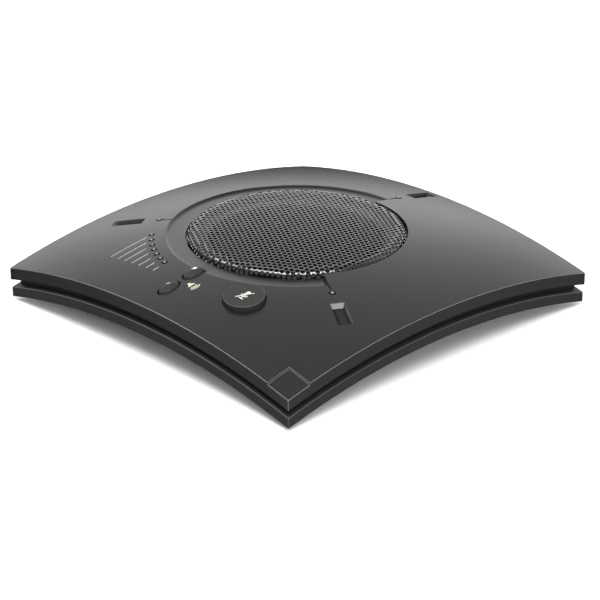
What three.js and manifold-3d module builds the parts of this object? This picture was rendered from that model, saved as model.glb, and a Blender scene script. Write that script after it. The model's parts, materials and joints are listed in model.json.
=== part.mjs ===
// Square conference speakerphone: two arched shells that follow one shallow dome, with a round
// speaker grille in the middle, three microphone groups around it, and a row of controls at the front.
// Millimetres, +Z up, -Y towards the user. The origin is on the table under the centre.

import * as THREE from "three";
import { mergeVertices } from "three/addons/utils/BufferGeometryUtils.js";
import Module from "manifold-3d";

const wasm = await Module();
wasm.setup();

// ---------------------------------------------------------------- driving dimensions

const GAP = 0.3; // clearance between pieces that touch
const TOP = 60; // a height above everything, for cutters
const ROUND = 48; // facets round the large circles

// body; each depth is measured down from the dome
const HALF = 120; // half of the square's side
const CORNER_RADIUS = 0.8;
const DOME_RADIUS = 502; // every arched surface is this sphere, at some depth
const CROWN = 49.92; // height of the dome's highest point above the table
const WALL = 2.4;
const UPPER_RIM = 7.8; // depth of the upper shell's lower edge under the dome
const LOWER_LIP = 12.5; // depth of the lower shell's upper edge
const LOWER_FLOOR = 16.7; // depth of the lower shell's inner face
const LOWER_RIM = 18.9; // depth of the lower shell's underside
const LOWER_INSET = 0.6; // the lower shell is this much smaller all round
const LIP_WIDTH = 6.6;
const BAND_HALF = 115.8; // the dark spacer band in the gap between the shells
const BAND_THICKNESS = 2.4;
const BAND_TOP = 4.4;
const CORNER_MARK = { size: 16, depth: 1.1 };

// tub under the lower shell
const TUB = { radius: 86, bottom: 1.8, wall: 2.2, top: 25.6, rear: 80 };
const TUB_FLOOR = TUB.bottom + TUB.wall;

// grille and the dished ring round it
const GRILLE = { radius: 64, shoulder: 4, rise: 0.8, sheet: 1.2 };
const SEAT = { radius: 65.2, opening: 52, top: 41, thickness: 2.4 };
const COLLAR_MARGIN = 4; // the thick collar reaches this far past the dished ring
const RING = { radius: 77.3, innerFloor: 42.7, outerFloor: 43.1 };
const RAISED_SECTOR = { from: -30, to: 90 }; // degrees; here the shell runs up to the grille

// microphone groups
const MIC_ANGLES = [90, 210, 330];
const LIGHT_RADIUS = 85; // status lights and level lights lie on this circle
const WINDOW = { radius: 105.5, width: 7.5, length: 18, depth: 2.1, slope: 1.35 };
const MIC_BOARD = { radius: 96, length: 30, width: 12, top: -11.6, thickness: 1.4 };
const PORT = { hole: 1.1, mouth: 2.1, sink: 1.2 };
const GROOVE = { width: 0.8, depth: 0.6, from: -7.5, to: -1.5 };

// level lights
const LEVEL = { count: 7, firstX: -59.5, pitch: 6, hole: 1.1, mouth: 1.8, sink: 1.0 };
const LEVEL_SPAN = { from: 222, to: 257 };

// controls
const TRAVEL = 1;
const MUTE = { x: 44, y: -81.6, radius: 11.7, flange: 13.2, height: 3 };
const VOLUME = {
  x: 0.8,
  upY: -81,
  downY: -99.5,
  halfWidth: 4.25,
  halfLength: 7.5,
  flange: [5.4, 8.8],
  sideGap: 0.35,
  endGap: 0.7,
  height: 2,
  spring: -1.2, // where the dome of the key begins
};
const KEY_FLANGE = { top: -3, bottom: -3.8 };
const KEY_ROOM = { side: 0.5, bottom: -12 }; // clearance round the keys and the depth cut free for them
const MUTE_UNDERCUT = { inner: 2.4, outer: 10.2, roof: 1.4 };
const SWITCH = { size: 6, bottom: -8.4, top: -5.6, plunger: 1.7 };
const PLUNGER_TOP = KEY_FLANGE.bottom - TRAVEL - 0.1;
const CONTROL_BOARD = { x: 22, y: -88, width: 74, length: 38, top: -9.4, thickness: 1.6 };

// electronics and fasteners
const MAIN_BOARD = { inner: 44, outer: 80, rear: 77, bottom: 16, thickness: 1.6 };
const BOARD_TOP = MAIN_BOARD.bottom + MAIN_BOARD.thickness;
const SOCKET = { bottom: 4.6, height: 11, depth: 14, front: TUB.rear - 0.3 };
const CASE_SCREW = { place: 98, seat: 14.2, pilot: 1.3, shank: 1, head: 2.8, headHeight: 1.8 };
const CASE_BOSS = { split: 17, upper: 4, lower: 5.5, pocket: 3.4, bore: 1.7, floor: 1.5 };
const STANDOFF = { radius: 3, circle: 72 }; // posts in the tub that carry the main board
const DECK_POST = { radius: 2, x: 33, y: -12 }; // posts that hold the control board
const FOOT = { radius: 7, circle: 66, pocket: 0.7 };
const LABEL = { halfWidth: 23, halfLength: 13, thickness: 0.5, recess: 0.5, margin: 1 };
const CAPACITOR = { radius: 5, height: 11, x: 58, ys: [16, 30] };
const CHIPS = [
  { name: "signal_chip", x: -60, y: -8, width: 14, length: 14, height: 1.4 },
  { name: "amplifier_chip", x: 60, y: -8, width: 10, length: 12, height: 2.4 },
];
const RIBBON = { x: 20, y: -71.5, width: 10, thickness: 0.6, height: 13.2, lean: 8 };

// ---------------------------------------------------------------- materials

function material(color, roughness, metalness = 0) {
  return new THREE.MeshStandardMaterial({ color, roughness, metalness });
}

const CHARCOAL = material(0x46474a, 0.5);
const LOWER_CHARCOAL = material(0x3a3a3b, 0.6);
const BLACK_PLASTIC = material(0x141415, 0.7);
const BLACK_STEEL = material(0x1b1c1e, 0.35, 0.8);
const KEY_RUBBER = material(0x353636, 0.65);
const CLEAR_PLASTIC = material(0xc8ccd0, 0.2);
const BLACK_RUBBER = material(0x181818, 0.9);
const FOAM = material(0x222222, 0.95);
const STEEL = material(0x9a9ca0, 0.35, 1);
const CIRCUIT = material(0x1f5a38, 0.5);
const CHIP = material(0x17181a, 0.4);
const PAPER = material(0x202224, 0.8);
const COPPER = material(0xb0693a, 0.4, 0.9);
const LEAD = material(0x8c1f1c, 0.6);

// ---------------------------------------------------------------- solids

const rad = THREE.MathUtils.degToRad;

// A closed three.js geometry as a solid that can be joined and cut.
function solid(geometry) {
  const bare = geometry.clone();
  bare.deleteAttribute("normal");
  bare.deleteAttribute("uv");
  const merged = mergeVertices(bare, 1e-4);
  return new wasm.Manifold(
    new wasm.Mesh({
      numProp: 3,
      vertProperties: merged.attributes.position.array,
      triVerts: new Uint32Array(merged.index.array),
    }),
  );
}

function geometryOf(shape) {
  const { vertProperties, triVerts } = shape.getMesh();
  const geometry = new THREE.BufferGeometry();
  geometry.setAttribute("position", new THREE.BufferAttribute(vertProperties, 3));
  geometry.setIndex(new THREE.BufferAttribute(triVerts, 1));
  geometry.computeVertexNormals();
  return geometry;
}

function placed(geometry, matrix) {
  return geometry.clone().applyMatrix4(matrix);
}

// A solid of revolution round Z. The profile is a list of [radius, height] pairs in
// counter-clockwise order, and it closes on itself or on the axis.
function turned(profile, segments = 24) {
  const points = profile.map(([r, z]) => new THREE.Vector2(r, z));
  if (profile[0][0] > 0 || profile.at(-1)[0] > 0) points.push(points[0].clone());
  return new THREE.LatheGeometry(points, segments).rotateX(Math.PI / 2);
}

function disc(radius, bottom, top, segments = 24) {
  return turned([[0, bottom], [radius, bottom], [radius, top], [0, top]], segments);
}

function ring(inner, outer, bottom, top, segments = 24) {
  return turned([[inner, bottom], [outer, bottom], [outer, top], [inner, top]], segments);
}

function block(width, length, bottom, top) {
  return new THREE.BoxGeometry(width, length, top - bottom).translate(0, 0, (bottom + top) / 2);
}

// A box between two corners.
function span(from, to) {
  const size = to.map((value, i) => value - from[i]);
  const middle = to.map((value, i) => (value + from[i]) / 2);
  return new THREE.BoxGeometry(...size).translate(...middle);
}

function extruded(shape, bottom, top, options = {}) {
  const settings = { depth: top - bottom, bevelEnabled: false, curveSegments: 3, ...options };
  return new THREE.ExtrudeGeometry(shape, settings).translate(0, 0, bottom);
}

// The square outline of the body, with small rounded corners.
function squarePrism(half, bottom, top, radius = CORNER_RADIUS) {
  const straight = half - radius;
  const outline = new THREE.Shape();
  for (let i = 0; i < 4; i += 1) {
    const cx = straight * (i === 0 || i === 3 ? 1 : -1);
    const cy = straight * (i < 2 ? 1 : -1);
    outline.absarc(cx, cy, radius, (i * Math.PI) / 2, ((i + 1) * Math.PI) / 2, false);
  }
  return extruded(outline, bottom, top);
}

function ellipsePrism(halfWidth, halfLength, bottom, top) {
  const outline = new THREE.Shape();
  outline.absellipse(0, 0, halfWidth, halfLength, 0, 2 * Math.PI);
  return extruded(outline, bottom, top, { curveSegments: 16 });
}

// A sector of a circle seen from above, between two angles in degrees.
function wedge(from, to, radius, bottom, top) {
  const outline = new THREE.Shape();
  const steps = 8;
  outline.moveTo(0, 0);
  for (let i = 0; i <= steps; i += 1) {
    const angle = rad(from + ((to - from) * i) / steps);
    outline.lineTo(radius * Math.cos(angle), radius * Math.sin(angle));
  }
  return extruded(outline, bottom, top);
}

// ---------------------------------------------------------------- the dome

function domeHeight(radius, depth = 0) {
  return CROWN - depth - DOME_RADIUS + Math.sqrt(DOME_RADIUS ** 2 - radius ** 2);
}

// Everything under the dome, down to a flat base.
function underDome(depth, base = -5, reach = 176, rings = 6, segments = ROUND) {
  const profile = [[0, base], [reach, base]];
  for (let i = rings; i >= 0; i -= 1) {
    const radius = (reach * i) / rings;
    profile.push([radius, domeHeight(radius, depth)]);
  }
  return turned(profile, segments);
}

// The frame of a feature on the dome: Z is the outward normal, and X turns with the angle given.
function onDome(x, y, turn = 0) {
  const radius = Math.hypot(x, y);
  const tilt = Math.asin(radius / DOME_RADIUS);
  const bearing = Math.atan2(y, x);
  const matrix = new THREE.Matrix4().makeTranslation(x, y, domeHeight(radius));
  matrix.multiply(new THREE.Matrix4().makeRotationZ(bearing));
  matrix.multiply(new THREE.Matrix4().makeRotationY(tilt));
  return matrix.multiply(new THREE.Matrix4().makeRotationZ(rad(turn) - bearing));
}

function onCircle(radius, degrees) {
  return onDome(radius * Math.cos(rad(degrees)), radius * Math.sin(rad(degrees)), degrees);
}

function levelLightFrames() {
  return Array.from({ length: LEVEL.count }, (_, i) => {
    const x = LEVEL.firstX + i * LEVEL.pitch;
    return onDome(x, -Math.sqrt(LIGHT_RADIUS ** 2 - x ** 2));
  });
}

const muteFrame = onDome(MUTE.x, MUTE.y);
const volumeUpFrame = onDome(VOLUME.x, VOLUME.upY);
const volumeDownFrame = onDome(VOLUME.x, VOLUME.downY);

// ---------------------------------------------------------------- shells

const CORNERS = [[1, 1], [-1, 1], [-1, -1], [1, -1]];

// A hole for a light: a cone down from the surface, then a straight bore.
function countersink({ hole, mouth, sink }) {
  return turned([[0, -9], [hole, -9], [hole, -sink], [mouth, 0], [mouth, 3], [0, 3]], 8);
}

// A window with sloping sides, narrowest at its floor.
function windowCutter() {
  const w = WINDOW.length / 2 - WINDOW.slope;
  const h = WINDOW.width / 2 - WINDOW.slope;
  const floor = new THREE.Shape([
    new THREE.Vector2(-w, -h),
    new THREE.Vector2(w, -h),
    new THREE.Vector2(w, h),
    new THREE.Vector2(-w, h),
  ]);
  const bevel = {
    bevelEnabled: true,
    bevelThickness: WINDOW.depth,
    bevelSize: WINDOW.slope,
    bevelSegments: 1,
  };
  const sloped = solid(extruded(floor, 0, 2, bevel));
  return sloped.add(solid(extruded(floor, -6, 0)));
}

function cutterAt(cutter, matrix) {
  return solid(placed(geometryOf(cutter), matrix));
}

function makeUpperShell() {
  let shell = solid(squarePrism(HALF, 0, TOP)).intersect(solid(underDome(0)));
  const rim = solid(underDome(UPPER_RIM));
  const hollow = solid(squarePrism(HALF - WALL, -1, TOP)).intersect(solid(underDome(WALL)));
  shell = shell.subtract(rim).subtract(hollow);

  // the thicker collar that carries the dished ring and the grille's seat
  const seatBottom = SEAT.top - SEAT.thickness;
  const collarRadius = RING.radius + COLLAR_MARGIN;
  const collar = turned([
    [SEAT.opening, seatBottom],
    [SEAT.radius + WALL, seatBottom],
    [SEAT.radius + WALL, RING.innerFloor - WALL],
    [collarRadius, RING.innerFloor - WALL],
    [collarRadius, domeHeight(collarRadius, 1)],
    [SEAT.opening, domeHeight(SEAT.radius, 1)],
  ], ROUND);
  shell = shell.add(solid(collar));
  shell = shell.subtract(solid(disc(SEAT.opening, 0, TOP, ROUND)));
  shell = shell.subtract(solid(disc(SEAT.radius, SEAT.top, TOP, ROUND)));

  const dish = turned([
    [SEAT.radius - 2, RING.innerFloor],
    [RING.radius, RING.outerFloor],
    [RING.radius, TOP],
    [SEAT.radius - 2, TOP],
  ], ROUND);
  const raised = wedge(RAISED_SECTOR.from, RAISED_SECTOR.to, 150, 0, TOP + 1);
  shell = shell.subtract(solid(dish).subtract(solid(raised)));

  // bosses for the case screws, and posts that hold the control board
  for (const [sx, sy] of CORNERS) {
    const x = sx * CASE_SCREW.place;
    const y = sy * CASE_SCREW.place;
    const roof = domeHeight(Math.hypot(x, y), WALL) + 1;
    const boss = disc(CASE_BOSS.upper, CASE_BOSS.split + GAP, roof, 12).translate(x, y, 0);
    const pilot = disc(CASE_SCREW.pilot, 0, roof - 2, 8).translate(x, y, 0);
    shell = shell.add(solid(boss)).subtract(solid(pilot));
  }
  const deck = onDome(CONTROL_BOARD.x, CONTROL_BOARD.y);
  for (const side of [-1, 1]) {
    const post = disc(DECK_POST.radius, CONTROL_BOARD.top + GAP, -WALL / 2, 8);
    post.translate(side * DECK_POST.x, DECK_POST.y, 0);
    shell = shell.add(solid(placed(post, deck)));
  }

  // microphone windows, status lights and the fine grooves that lead to them
  const window = windowCutter();
  const portCutter = countersink(PORT);
  const halfGroove = GROOVE.width / 2;
  const groove = span([GROOVE.from, -halfGroove, -GROOVE.depth], [GROOVE.to, halfGroove, 2]);
  for (const angle of MIC_ANGLES) {
    shell = shell.subtract(cutterAt(window, onCircle(WINDOW.radius, angle)));
    shell = shell.subtract(solid(placed(portCutter, onCircle(LIGHT_RADIUS, angle))));
    shell = shell.subtract(solid(placed(groove, onCircle(LIGHT_RADIUS, angle))));
  }
  for (const frame of levelLightFrames()) {
    shell = shell.subtract(solid(placed(countersink(LEVEL), frame)));
  }

  // each key has a hole, and room under the shell for its flange
  const under = KEY_FLANGE.top + GAP;
  const { side, bottom } = KEY_ROOM;
  const muteHole = solid(disc(MUTE.radius + side, bottom, 6, 24));
  const muteRoom = solid(disc(MUTE.flange + side, bottom, under, 16));
  const { halfWidth, halfLength, flange, sideGap, endGap } = VOLUME;
  const volumeHole = solid(ellipsePrism(halfWidth + sideGap, halfLength + endGap, bottom, 6));
  const volumeRoom = solid(ellipsePrism(flange[0] + side, flange[1] + side, bottom, under));
  shell = shell.subtract(cutterAt(muteHole.add(muteRoom), muteFrame));
  for (const frame of [volumeUpFrame, volumeDownFrame]) {
    shell = shell.subtract(cutterAt(volumeHole.add(volumeRoom), frame));
  }

  // the square mark at the front right corner is a shallow step
  const start = HALF - CORNER_MARK.size;
  const corner = solid(span([start, -HALF - 1, 0], [HALF + 1, -start, TOP]));
  return shell.subtract(corner.subtract(solid(underDome(CORNER_MARK.depth))));
}

function makeLowerShell() {
  let shell = solid(squarePrism(HALF - LOWER_INSET, 0, TOP));
  shell = shell.intersect(solid(underDome(LOWER_LIP))).subtract(solid(underDome(LOWER_RIM)));
  const hollow = solid(squarePrism(HALF - LOWER_INSET - LIP_WIDTH, 0, TOP));
  shell = shell.subtract(hollow.subtract(solid(underDome(LOWER_FLOOR))));

  const behind = (y) => solid(span([-HALF, y, -1], [HALF, HALF, TOP + 1]));
  const outer = solid(disc(TUB.radius, TUB.bottom, TUB.top, ROUND)).subtract(behind(TUB.rear));
  const inner = solid(disc(TUB.radius - TUB.wall, TUB_FLOOR, TOP, ROUND));
  shell = shell.add(outer).subtract(inner.subtract(behind(TUB.rear - TUB.wall)));

  for (const [sx, sy] of CORNERS) {
    const x = sx * CASE_SCREW.place;
    const y = sy * CASE_SCREW.place;
    const bottom = CASE_SCREW.seat - CASE_BOSS.floor;
    const boss = disc(CASE_BOSS.lower, bottom, CASE_BOSS.split, 12).translate(x, y, 0);
    const pocket = disc(CASE_BOSS.pocket, 0, CASE_SCREW.seat, 12).translate(x, y, 0);
    const bore = disc(CASE_BOSS.bore, 0, TOP, 8).translate(x, y, 0);
    shell = shell.add(solid(boss)).subtract(solid(pocket)).subtract(solid(bore));
  }
  const diagonal = Math.SQRT1_2;
  for (const [sx, sy] of CORNERS) {
    const standoff = disc(STANDOFF.radius, TUB_FLOOR - 1, MAIN_BOARD.bottom - GAP, 10);
    const footPocket = disc(FOOT.radius + GAP, 0, TUB.bottom + FOOT.pocket, 20);
    const postPlace = [sx * STANDOFF.circle * diagonal, sy * STANDOFF.circle * diagonal, 0];
    const footPlace = [sx * FOOT.circle * diagonal, sy * FOOT.circle * diagonal, 0];
    shell = shell.add(solid(standoff.translate(...postPlace)));
    shell = shell.subtract(solid(footPocket.translate(...footPlace)));
  }

  for (const { x, width } of SOCKETS) {
    const half = width / 2 + GAP;
    const low = SOCKET.bottom - GAP;
    const high = SOCKET.bottom + SOCKET.height + GAP;
    shell = shell.subtract(solid(span([x - half, TUB.rear - 4, low], [x + half, TUB.rear + 2, high])));
  }
  const x = LABEL.halfWidth + LABEL.margin;
  const y = LABEL.halfLength + LABEL.margin;
  return shell.subtract(solid(span([-x, -y, 0], [x, y, TUB.bottom + LABEL.recess])));
}

function makeCoreBand() {
  const outer = solid(squarePrism(BAND_HALF, 0, TOP));
  const inner = solid(squarePrism(BAND_HALF - BAND_THICKNESS, -1, TOP + 1));
  const under = solid(underDome(BAND_TOP));
  return outer.subtract(inner).intersect(under).subtract(solid(underDome(LOWER_LIP - GAP)));
}

// ---------------------------------------------------------------- grille and loudspeaker

// One side of the grille's sheet: the dome out to the shoulder, a rolled edge, and a short wall.
function grilleSide(inset) {
  const start = GRILLE.radius - GRILLE.shoulder;
  const lean = Math.asin(start / DOME_RADIUS);
  const bend = GRILLE.shoulder - inset;
  const centreZ = domeHeight(start) + GRILLE.rise - GRILLE.shoulder;
  const points = [];
  for (let i = 0; i <= 3; i += 1) {
    const radius = (start * i) / 3;
    points.push([radius, domeHeight(radius) + GRILLE.rise - inset]);
  }
  for (let i = 1; i <= 3; i += 1) {
    const angle = lean + ((Math.PI / 2 - lean) * i) / 3;
    points.push([start + bend * Math.sin(angle), centreZ + bend * Math.cos(angle)]);
  }
  points.push([GRILLE.radius - inset, SEAT.top + GAP]);
  return points;
}

function makeGrille() {
  const outside = grilleSide(0).reverse();
  const inside = grilleSide(GRILLE.sheet);
  return turned([...inside, ...outside], ROUND);
}

const FLANGE = { outer: 58, bottom: 34.6, top: 36.4 };
const SPEAKER_SCREW = { circle: 55, hole: 1.5, pilot: 1.3 };
const QUARTERS = [45, 135, 225, 315];

function aroundSpeaker(degrees) {
  const angle = rad(degrees);
  return [SPEAKER_SCREW.circle * Math.cos(angle), SPEAKER_SCREW.circle * Math.sin(angle), 0];
}

// Holes for the four screws, over a range of height.
function withScrewHoles(shape, radius, bottom, top) {
  return QUARTERS.reduce((rest, degrees) => {
    const hole = disc(radius, bottom, top, 8).translate(...aroundSpeaker(degrees));
    return rest.subtract(solid(hole));
  }, shape);
}

function makeBasket() {
  const profile = [
    [13.8, 19.6], [33, 19.6], [34, 21], [47, FLANGE.bottom], [FLANGE.outer, FLANGE.bottom],
    [FLANGE.outer, FLANGE.top], [45.5, FLANGE.top], [45.5, 35.2], [32.6, 21.4], [13.8, 21.4],
  ];
  const shape = solid(turned(profile, 28));
  return withScrewHoles(shape, SPEAKER_SCREW.hole, 30, 40);
}

// Magnet, plates and pole piece, with the gap that the voice coil moves in.
function makeMagnet() {
  return turned([
    [0, 5.2], [32, 5.2], [32, 19.3], [13.4, 19.3], [13.4, 8], [11, 8], [11, 19.3], [0, 19.3],
  ], 28);
}

function makeCone() {
  return turned([[11.8, 25], [40.5, 34], [40.5, 34.9], [11.8, 25.9]], 28);
}

function makeDustCap() {
  return turned([[0, 28.6], [7, 28], [13, 26.7], [13, 27.5], [7, 29], [0, 29.6]], 24);
}

// The half roll that joins the cone to the basket.
function makeSurround() {
  const profile = [[40.8, 35.3], [45.2, 35.3]];
  for (let i = 0; i <= 4; i += 1) {
    const angle = (Math.PI * i) / 4;
    profile.push([43 + 2.2 * Math.cos(angle), 35.9 + 1.5 * Math.sin(angle)]);
  }
  return turned(profile, 28);
}

function makeGasket() {
  const shape = solid(ring(SEAT.opening + GAP, FLANGE.outer - GAP, FLANGE.top + GAP, 38.3, 28));
  return withScrewHoles(shape, SPEAKER_SCREW.hole, 30, 40);
}

// A pan-head screw standing on its head, with the shank up.
function screw(headRadius, headHeight, shankRadius, length) {
  return turned([
    [0, 0], [headRadius * 0.7, 0], [headRadius, headHeight * 0.5], [headRadius, headHeight],
    [shankRadius, headHeight], [shankRadius, headHeight + length], [0, headHeight + length],
  ], 10);
}

// ---------------------------------------------------------------- sockets and boards

const SOCKETS = [
  { name: "usb_socket", x: -20, width: 12, mouth: [8.6, 7.9], material: STEEL },
  { name: "power_jack", x: 0, width: 10, round: 3.2, material: BLACK_PLASTIC },
  { name: "expansion_socket", x: 20, width: 14, mouth: [11.4, 7.2], material: BLACK_PLASTIC },
];

function makeSocket({ x, width, mouth, round }) {
  const back = SOCKET.front - SOCKET.depth;
  const middle = SOCKET.bottom + SOCKET.height / 2;
  const top = SOCKET.bottom + SOCKET.height;
  const body = solid(span([x - width / 2, back, SOCKET.bottom], [x + width / 2, SOCKET.front, top]));
  if (round) {
    const bore = new THREE.CylinderGeometry(round, round, 12, 16);
    return body.subtract(solid(bore.translate(x, SOCKET.front - 4, middle)));
  }
  const [w, h] = mouth;
  const low = [x - w / 2, back + 4, middle - h / 2];
  return body.subtract(solid(span(low, [x + w / 2, SOCKET.front + 1, middle + h / 2])));
}

function makeMainBoard() {
  const board = ring(MAIN_BOARD.inner, MAIN_BOARD.outer, MAIN_BOARD.bottom, BOARD_TOP, 48);
  const rear = span([-HALF, MAIN_BOARD.rear, 0], [HALF, HALF, TOP]);
  return solid(board).subtract(solid(rear));
}

// A strip that follows the dome under the level lights.
function levelStrip(inner, outer, top, bottom) {
  const strip = turned([
    [inner, domeHeight(inner, bottom)],
    [outer, domeHeight(outer, bottom)],
    [outer, domeHeight(outer, top)],
    [inner, domeHeight(inner, top)],
  ], ROUND);
  return solid(strip).intersect(solid(wedge(LEVEL_SPAN.from, LEVEL_SPAN.to, 150, 0, TOP)));
}

function makeLightGuide() {
  const pipe = turned([[0, -5], [0.8, -5], [0.8, -1], [0.5, -0.75], [0, -0.65]], 8);
  return levelLightFrames().reduce(
    (guide, frame) => guide.add(solid(placed(pipe, frame))),
    levelStrip(82.5, 87.5, 4.5, 6.5),
  );
}

// ---------------------------------------------------------------- keys

function makeMuteKey() {
  const cap = solid(turned([
    [0, KEY_FLANGE.bottom], [MUTE.flange, KEY_FLANGE.bottom], [MUTE.flange, KEY_FLANGE.top],
    [MUTE.radius, KEY_FLANGE.top], [MUTE.radius, MUTE.height - 0.5],
    [MUTE.radius - 0.5, MUTE.height], [0, MUTE.height],
  ], 24));
  const { inner, outer, roof } = MUTE_UNDERCUT;
  return cap.subtract(solid(ring(inner, outer, KEY_FLANGE.bottom - 1, roof, 20)));
}

function makeVolumeKey() {
  const { halfWidth, halfLength, height, spring } = VOLUME;
  const crown = new THREE.SphereGeometry(1, 16, 8).rotateX(Math.PI / 2);
  crown.scale(halfWidth, halfLength, height - spring).translate(0, 0, spring);
  const column = ellipsePrism(halfWidth, halfLength, KEY_FLANGE.bottom, spring);
  const flange = ellipsePrism(...VOLUME.flange, KEY_FLANGE.bottom, KEY_FLANGE.top);
  const below = block(30, 30, KEY_ROOM.bottom, KEY_FLANGE.bottom);
  return solid(crown).add(solid(column)).add(solid(flange)).subtract(solid(below));
}

function makeSwitch() {
  const body = solid(block(SWITCH.size, SWITCH.size, SWITCH.bottom, SWITCH.top));
  return body.add(solid(disc(SWITCH.plunger, SWITCH.top - 1, PLUNGER_TOP, 12)));
}

// ---------------------------------------------------------------- assembly

const speakerphone = new THREE.Group();

function add(name, shape, look, parent = speakerphone) {
  const geometry = shape.isBufferGeometry ? shape : geometryOf(shape);
  const mesh = new THREE.Mesh(geometry, look);
  mesh.name = name;
  parent.add(mesh);
  return mesh;
}

// A group that stands at a frame on the dome.
function groupAt(frame) {
  const group = new THREE.Group();
  frame.decompose(group.position, group.quaternion, group.scale);
  speakerphone.add(group);
  return group;
}

function addHousing() {
  const pilots = withScrewHoles(makeUpperShell(), SPEAKER_SCREW.pilot, 30, SEAT.top - 0.6);
  add("upper_shell", pilots, CHARCOAL);
  add("lower_shell", makeLowerShell(), LOWER_CHARCOAL);
  add("core_band", makeCoreBand(), BLACK_PLASTIC);
  const { halfWidth, halfLength, thickness } = LABEL;
  const labelTop = TUB.bottom + LABEL.recess - GAP;
  const low = [-halfWidth, -halfLength, labelTop - thickness];
  add("rating_label", span(low, [halfWidth, halfLength, labelTop]), PAPER);
  CORNERS.forEach(([sx, sy], i) => {
    const reach = FOOT.circle * Math.SQRT1_2;
    const foot = disc(FOOT.radius, 0, TUB.bottom + FOOT.pocket - GAP, 20);
    add(`foot_${i + 1}`, foot, BLACK_RUBBER).position.set(sx * reach, sy * reach, 0);
    const { head, headHeight, shank, seat } = CASE_SCREW;
    const bolt = screw(head, headHeight, shank, 10);
    const place = [sx * CASE_SCREW.place, sy * CASE_SCREW.place, seat - GAP - headHeight];
    add(`case_screw_${i + 1}`, bolt, STEEL).position.set(...place);
  });
}

function addSpeaker() {
  add("speaker_grille", makeGrille(), BLACK_STEEL);
  add("speaker_gasket", makeGasket(), FOAM);
  add("speaker_basket", makeBasket(), BLACK_STEEL);
  add("speaker_magnet", makeMagnet(), STEEL);
  add("voice_coil", ring(11.8, 12.5, 10.5, 24.7, 24), COPPER);
  add("speaker_cone", makeCone(), BLACK_PLASTIC);
  add("speaker_dust_cap", makeDustCap(), BLACK_PLASTIC);
  add("speaker_surround", makeSurround(), BLACK_RUBBER);
  QUARTERS.forEach((degrees, i) => {
    const fixing = add(`speaker_screw_${i + 1}`, screw(2.4, 1.6, 1, 5.6), STEEL);
    fixing.position.set(...aroundSpeaker(degrees));
    fixing.position.z = FLANGE.bottom - GAP - 1.6;
  });
  const route = new THREE.CatmullRomCurve3([
    new THREE.Vector3(-36, 24, 29),
    new THREE.Vector3(-40, 28, 29),
    new THREE.Vector3(-45, 32, 26),
    new THREE.Vector3(-47, 34, BOARD_TOP + GAP),
  ]);
  const section = new THREE.Shape().absarc(0, 0, 0.9, 0, 2 * Math.PI);
  const along = { steps: 10, curveSegments: 8, bevelEnabled: false, extrudePath: route };
  add("speaker_lead", new THREE.ExtrudeGeometry(section, along), LEAD);
}

function addElectronics() {
  add("main_board", makeMainBoard(), CIRCUIT);
  const base = BOARD_TOP + GAP;
  for (const { name, x, y, width, length, height } of CHIPS) {
    add(name, block(width, length, base, base + height), CHIP).position.set(x, y, 0);
  }
  CAPACITOR.ys.forEach((y, i) => {
    const can = disc(CAPACITOR.radius, base, base + CAPACITOR.height, 16);
    add(`capacitor_${i + 1}`, can, CHIP).position.set(CAPACITOR.x, y, 0);
  });
  for (const socket of SOCKETS) add(socket.name, makeSocket(socket), socket.material);
}

function addControls() {
  const deck = groupAt(onDome(CONTROL_BOARD.x, CONTROL_BOARD.y));
  const { width, length, top, thickness } = CONTROL_BOARD;
  add("control_board", block(width, length, top - thickness, top), CIRCUIT, deck);
  const keys = [
    ["mute", muteFrame, makeMuteKey],
    ["volume_up", volumeUpFrame, makeVolumeKey],
    ["volume_down", volumeDownFrame, makeVolumeKey],
  ];
  for (const [name, frame, makeKey] of keys) {
    const group = groupAt(frame);
    add(`${name}_button`, makeKey(), KEY_RUBBER, group);
    add(`${name}_switch`, makeSwitch(), CHIP, group);
  }
  add("level_light_guide", makeLightGuide(), CLEAR_PLASTIC);
  add("level_led_strip", levelStrip(83, 87, 6.8, 8.2), CLEAR_PLASTIC);
  add("level_board", levelStrip(81, 89, 8.5, 9.9), CIRCUIT);

  const strip = block(RIBBON.width, RIBBON.thickness, 0, RIBBON.height);
  const ribbon = add("control_ribbon", strip, BLACK_PLASTIC);
  ribbon.position.set(RIBBON.x, RIBBON.y, BOARD_TOP + GAP);
  ribbon.rotation.x = rad(RIBBON.lean);
}

function addMicrophone(angle, index) {
  const lightFrame = groupAt(onCircle(LIGHT_RADIUS, angle));
  const windowFrame = groupAt(onCircle(WINDOW.radius, angle));
  const boardFrame = groupAt(onCircle(MIC_BOARD.radius, angle));
  const suffix = index + 1;

  const light = turned([
    [0, -9], [2.2, -9], [2.2, -4.5], [0.8, -4.5], [0.8, -1.2], [0.5, -0.95], [0, -0.85],
  ], 10);
  add(`status_light_${suffix}`, light, CLEAR_PLASTIC, lightFrame);

  const clear = 2 * (WINDOW.slope + GAP);
  const pedestal = block(WINDOW.length - clear, WINDOW.width - clear, -3.2, -WINDOW.depth);
  const plate = block(WINDOW.length, WINDOW.width + 2, -3.9, -2.85);
  add(`mic_window_${suffix}`, solid(pedestal).add(solid(plate)), FOAM, windowFrame);

  const boot = turned([[1, -11], [5, -11], [5, -4.2], [1, -4.2]], 16);
  const pocket = disc(3.3, -12, -5.7, 16);
  add(`mic_boot_${suffix}`, solid(boot).subtract(solid(pocket)), BLACK_RUBBER, windowFrame);
  add(`mic_capsule_${suffix}`, disc(3, -10.6, -6, 16), STEEL, windowFrame);
  const { length, width, top, thickness } = MIC_BOARD;
  add(`mic_board_${suffix}`, block(length, width, top - thickness, top), CIRCUIT, boardFrame);
}

addHousing();
addSpeaker();
addElectronics();
addControls();
MIC_ANGLES.forEach(addMicrophone);

export default speakerphone;
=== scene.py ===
import json
import math

import bmesh
import bpy
import numpy as np
from mathutils import Matrix, Vector


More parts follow.
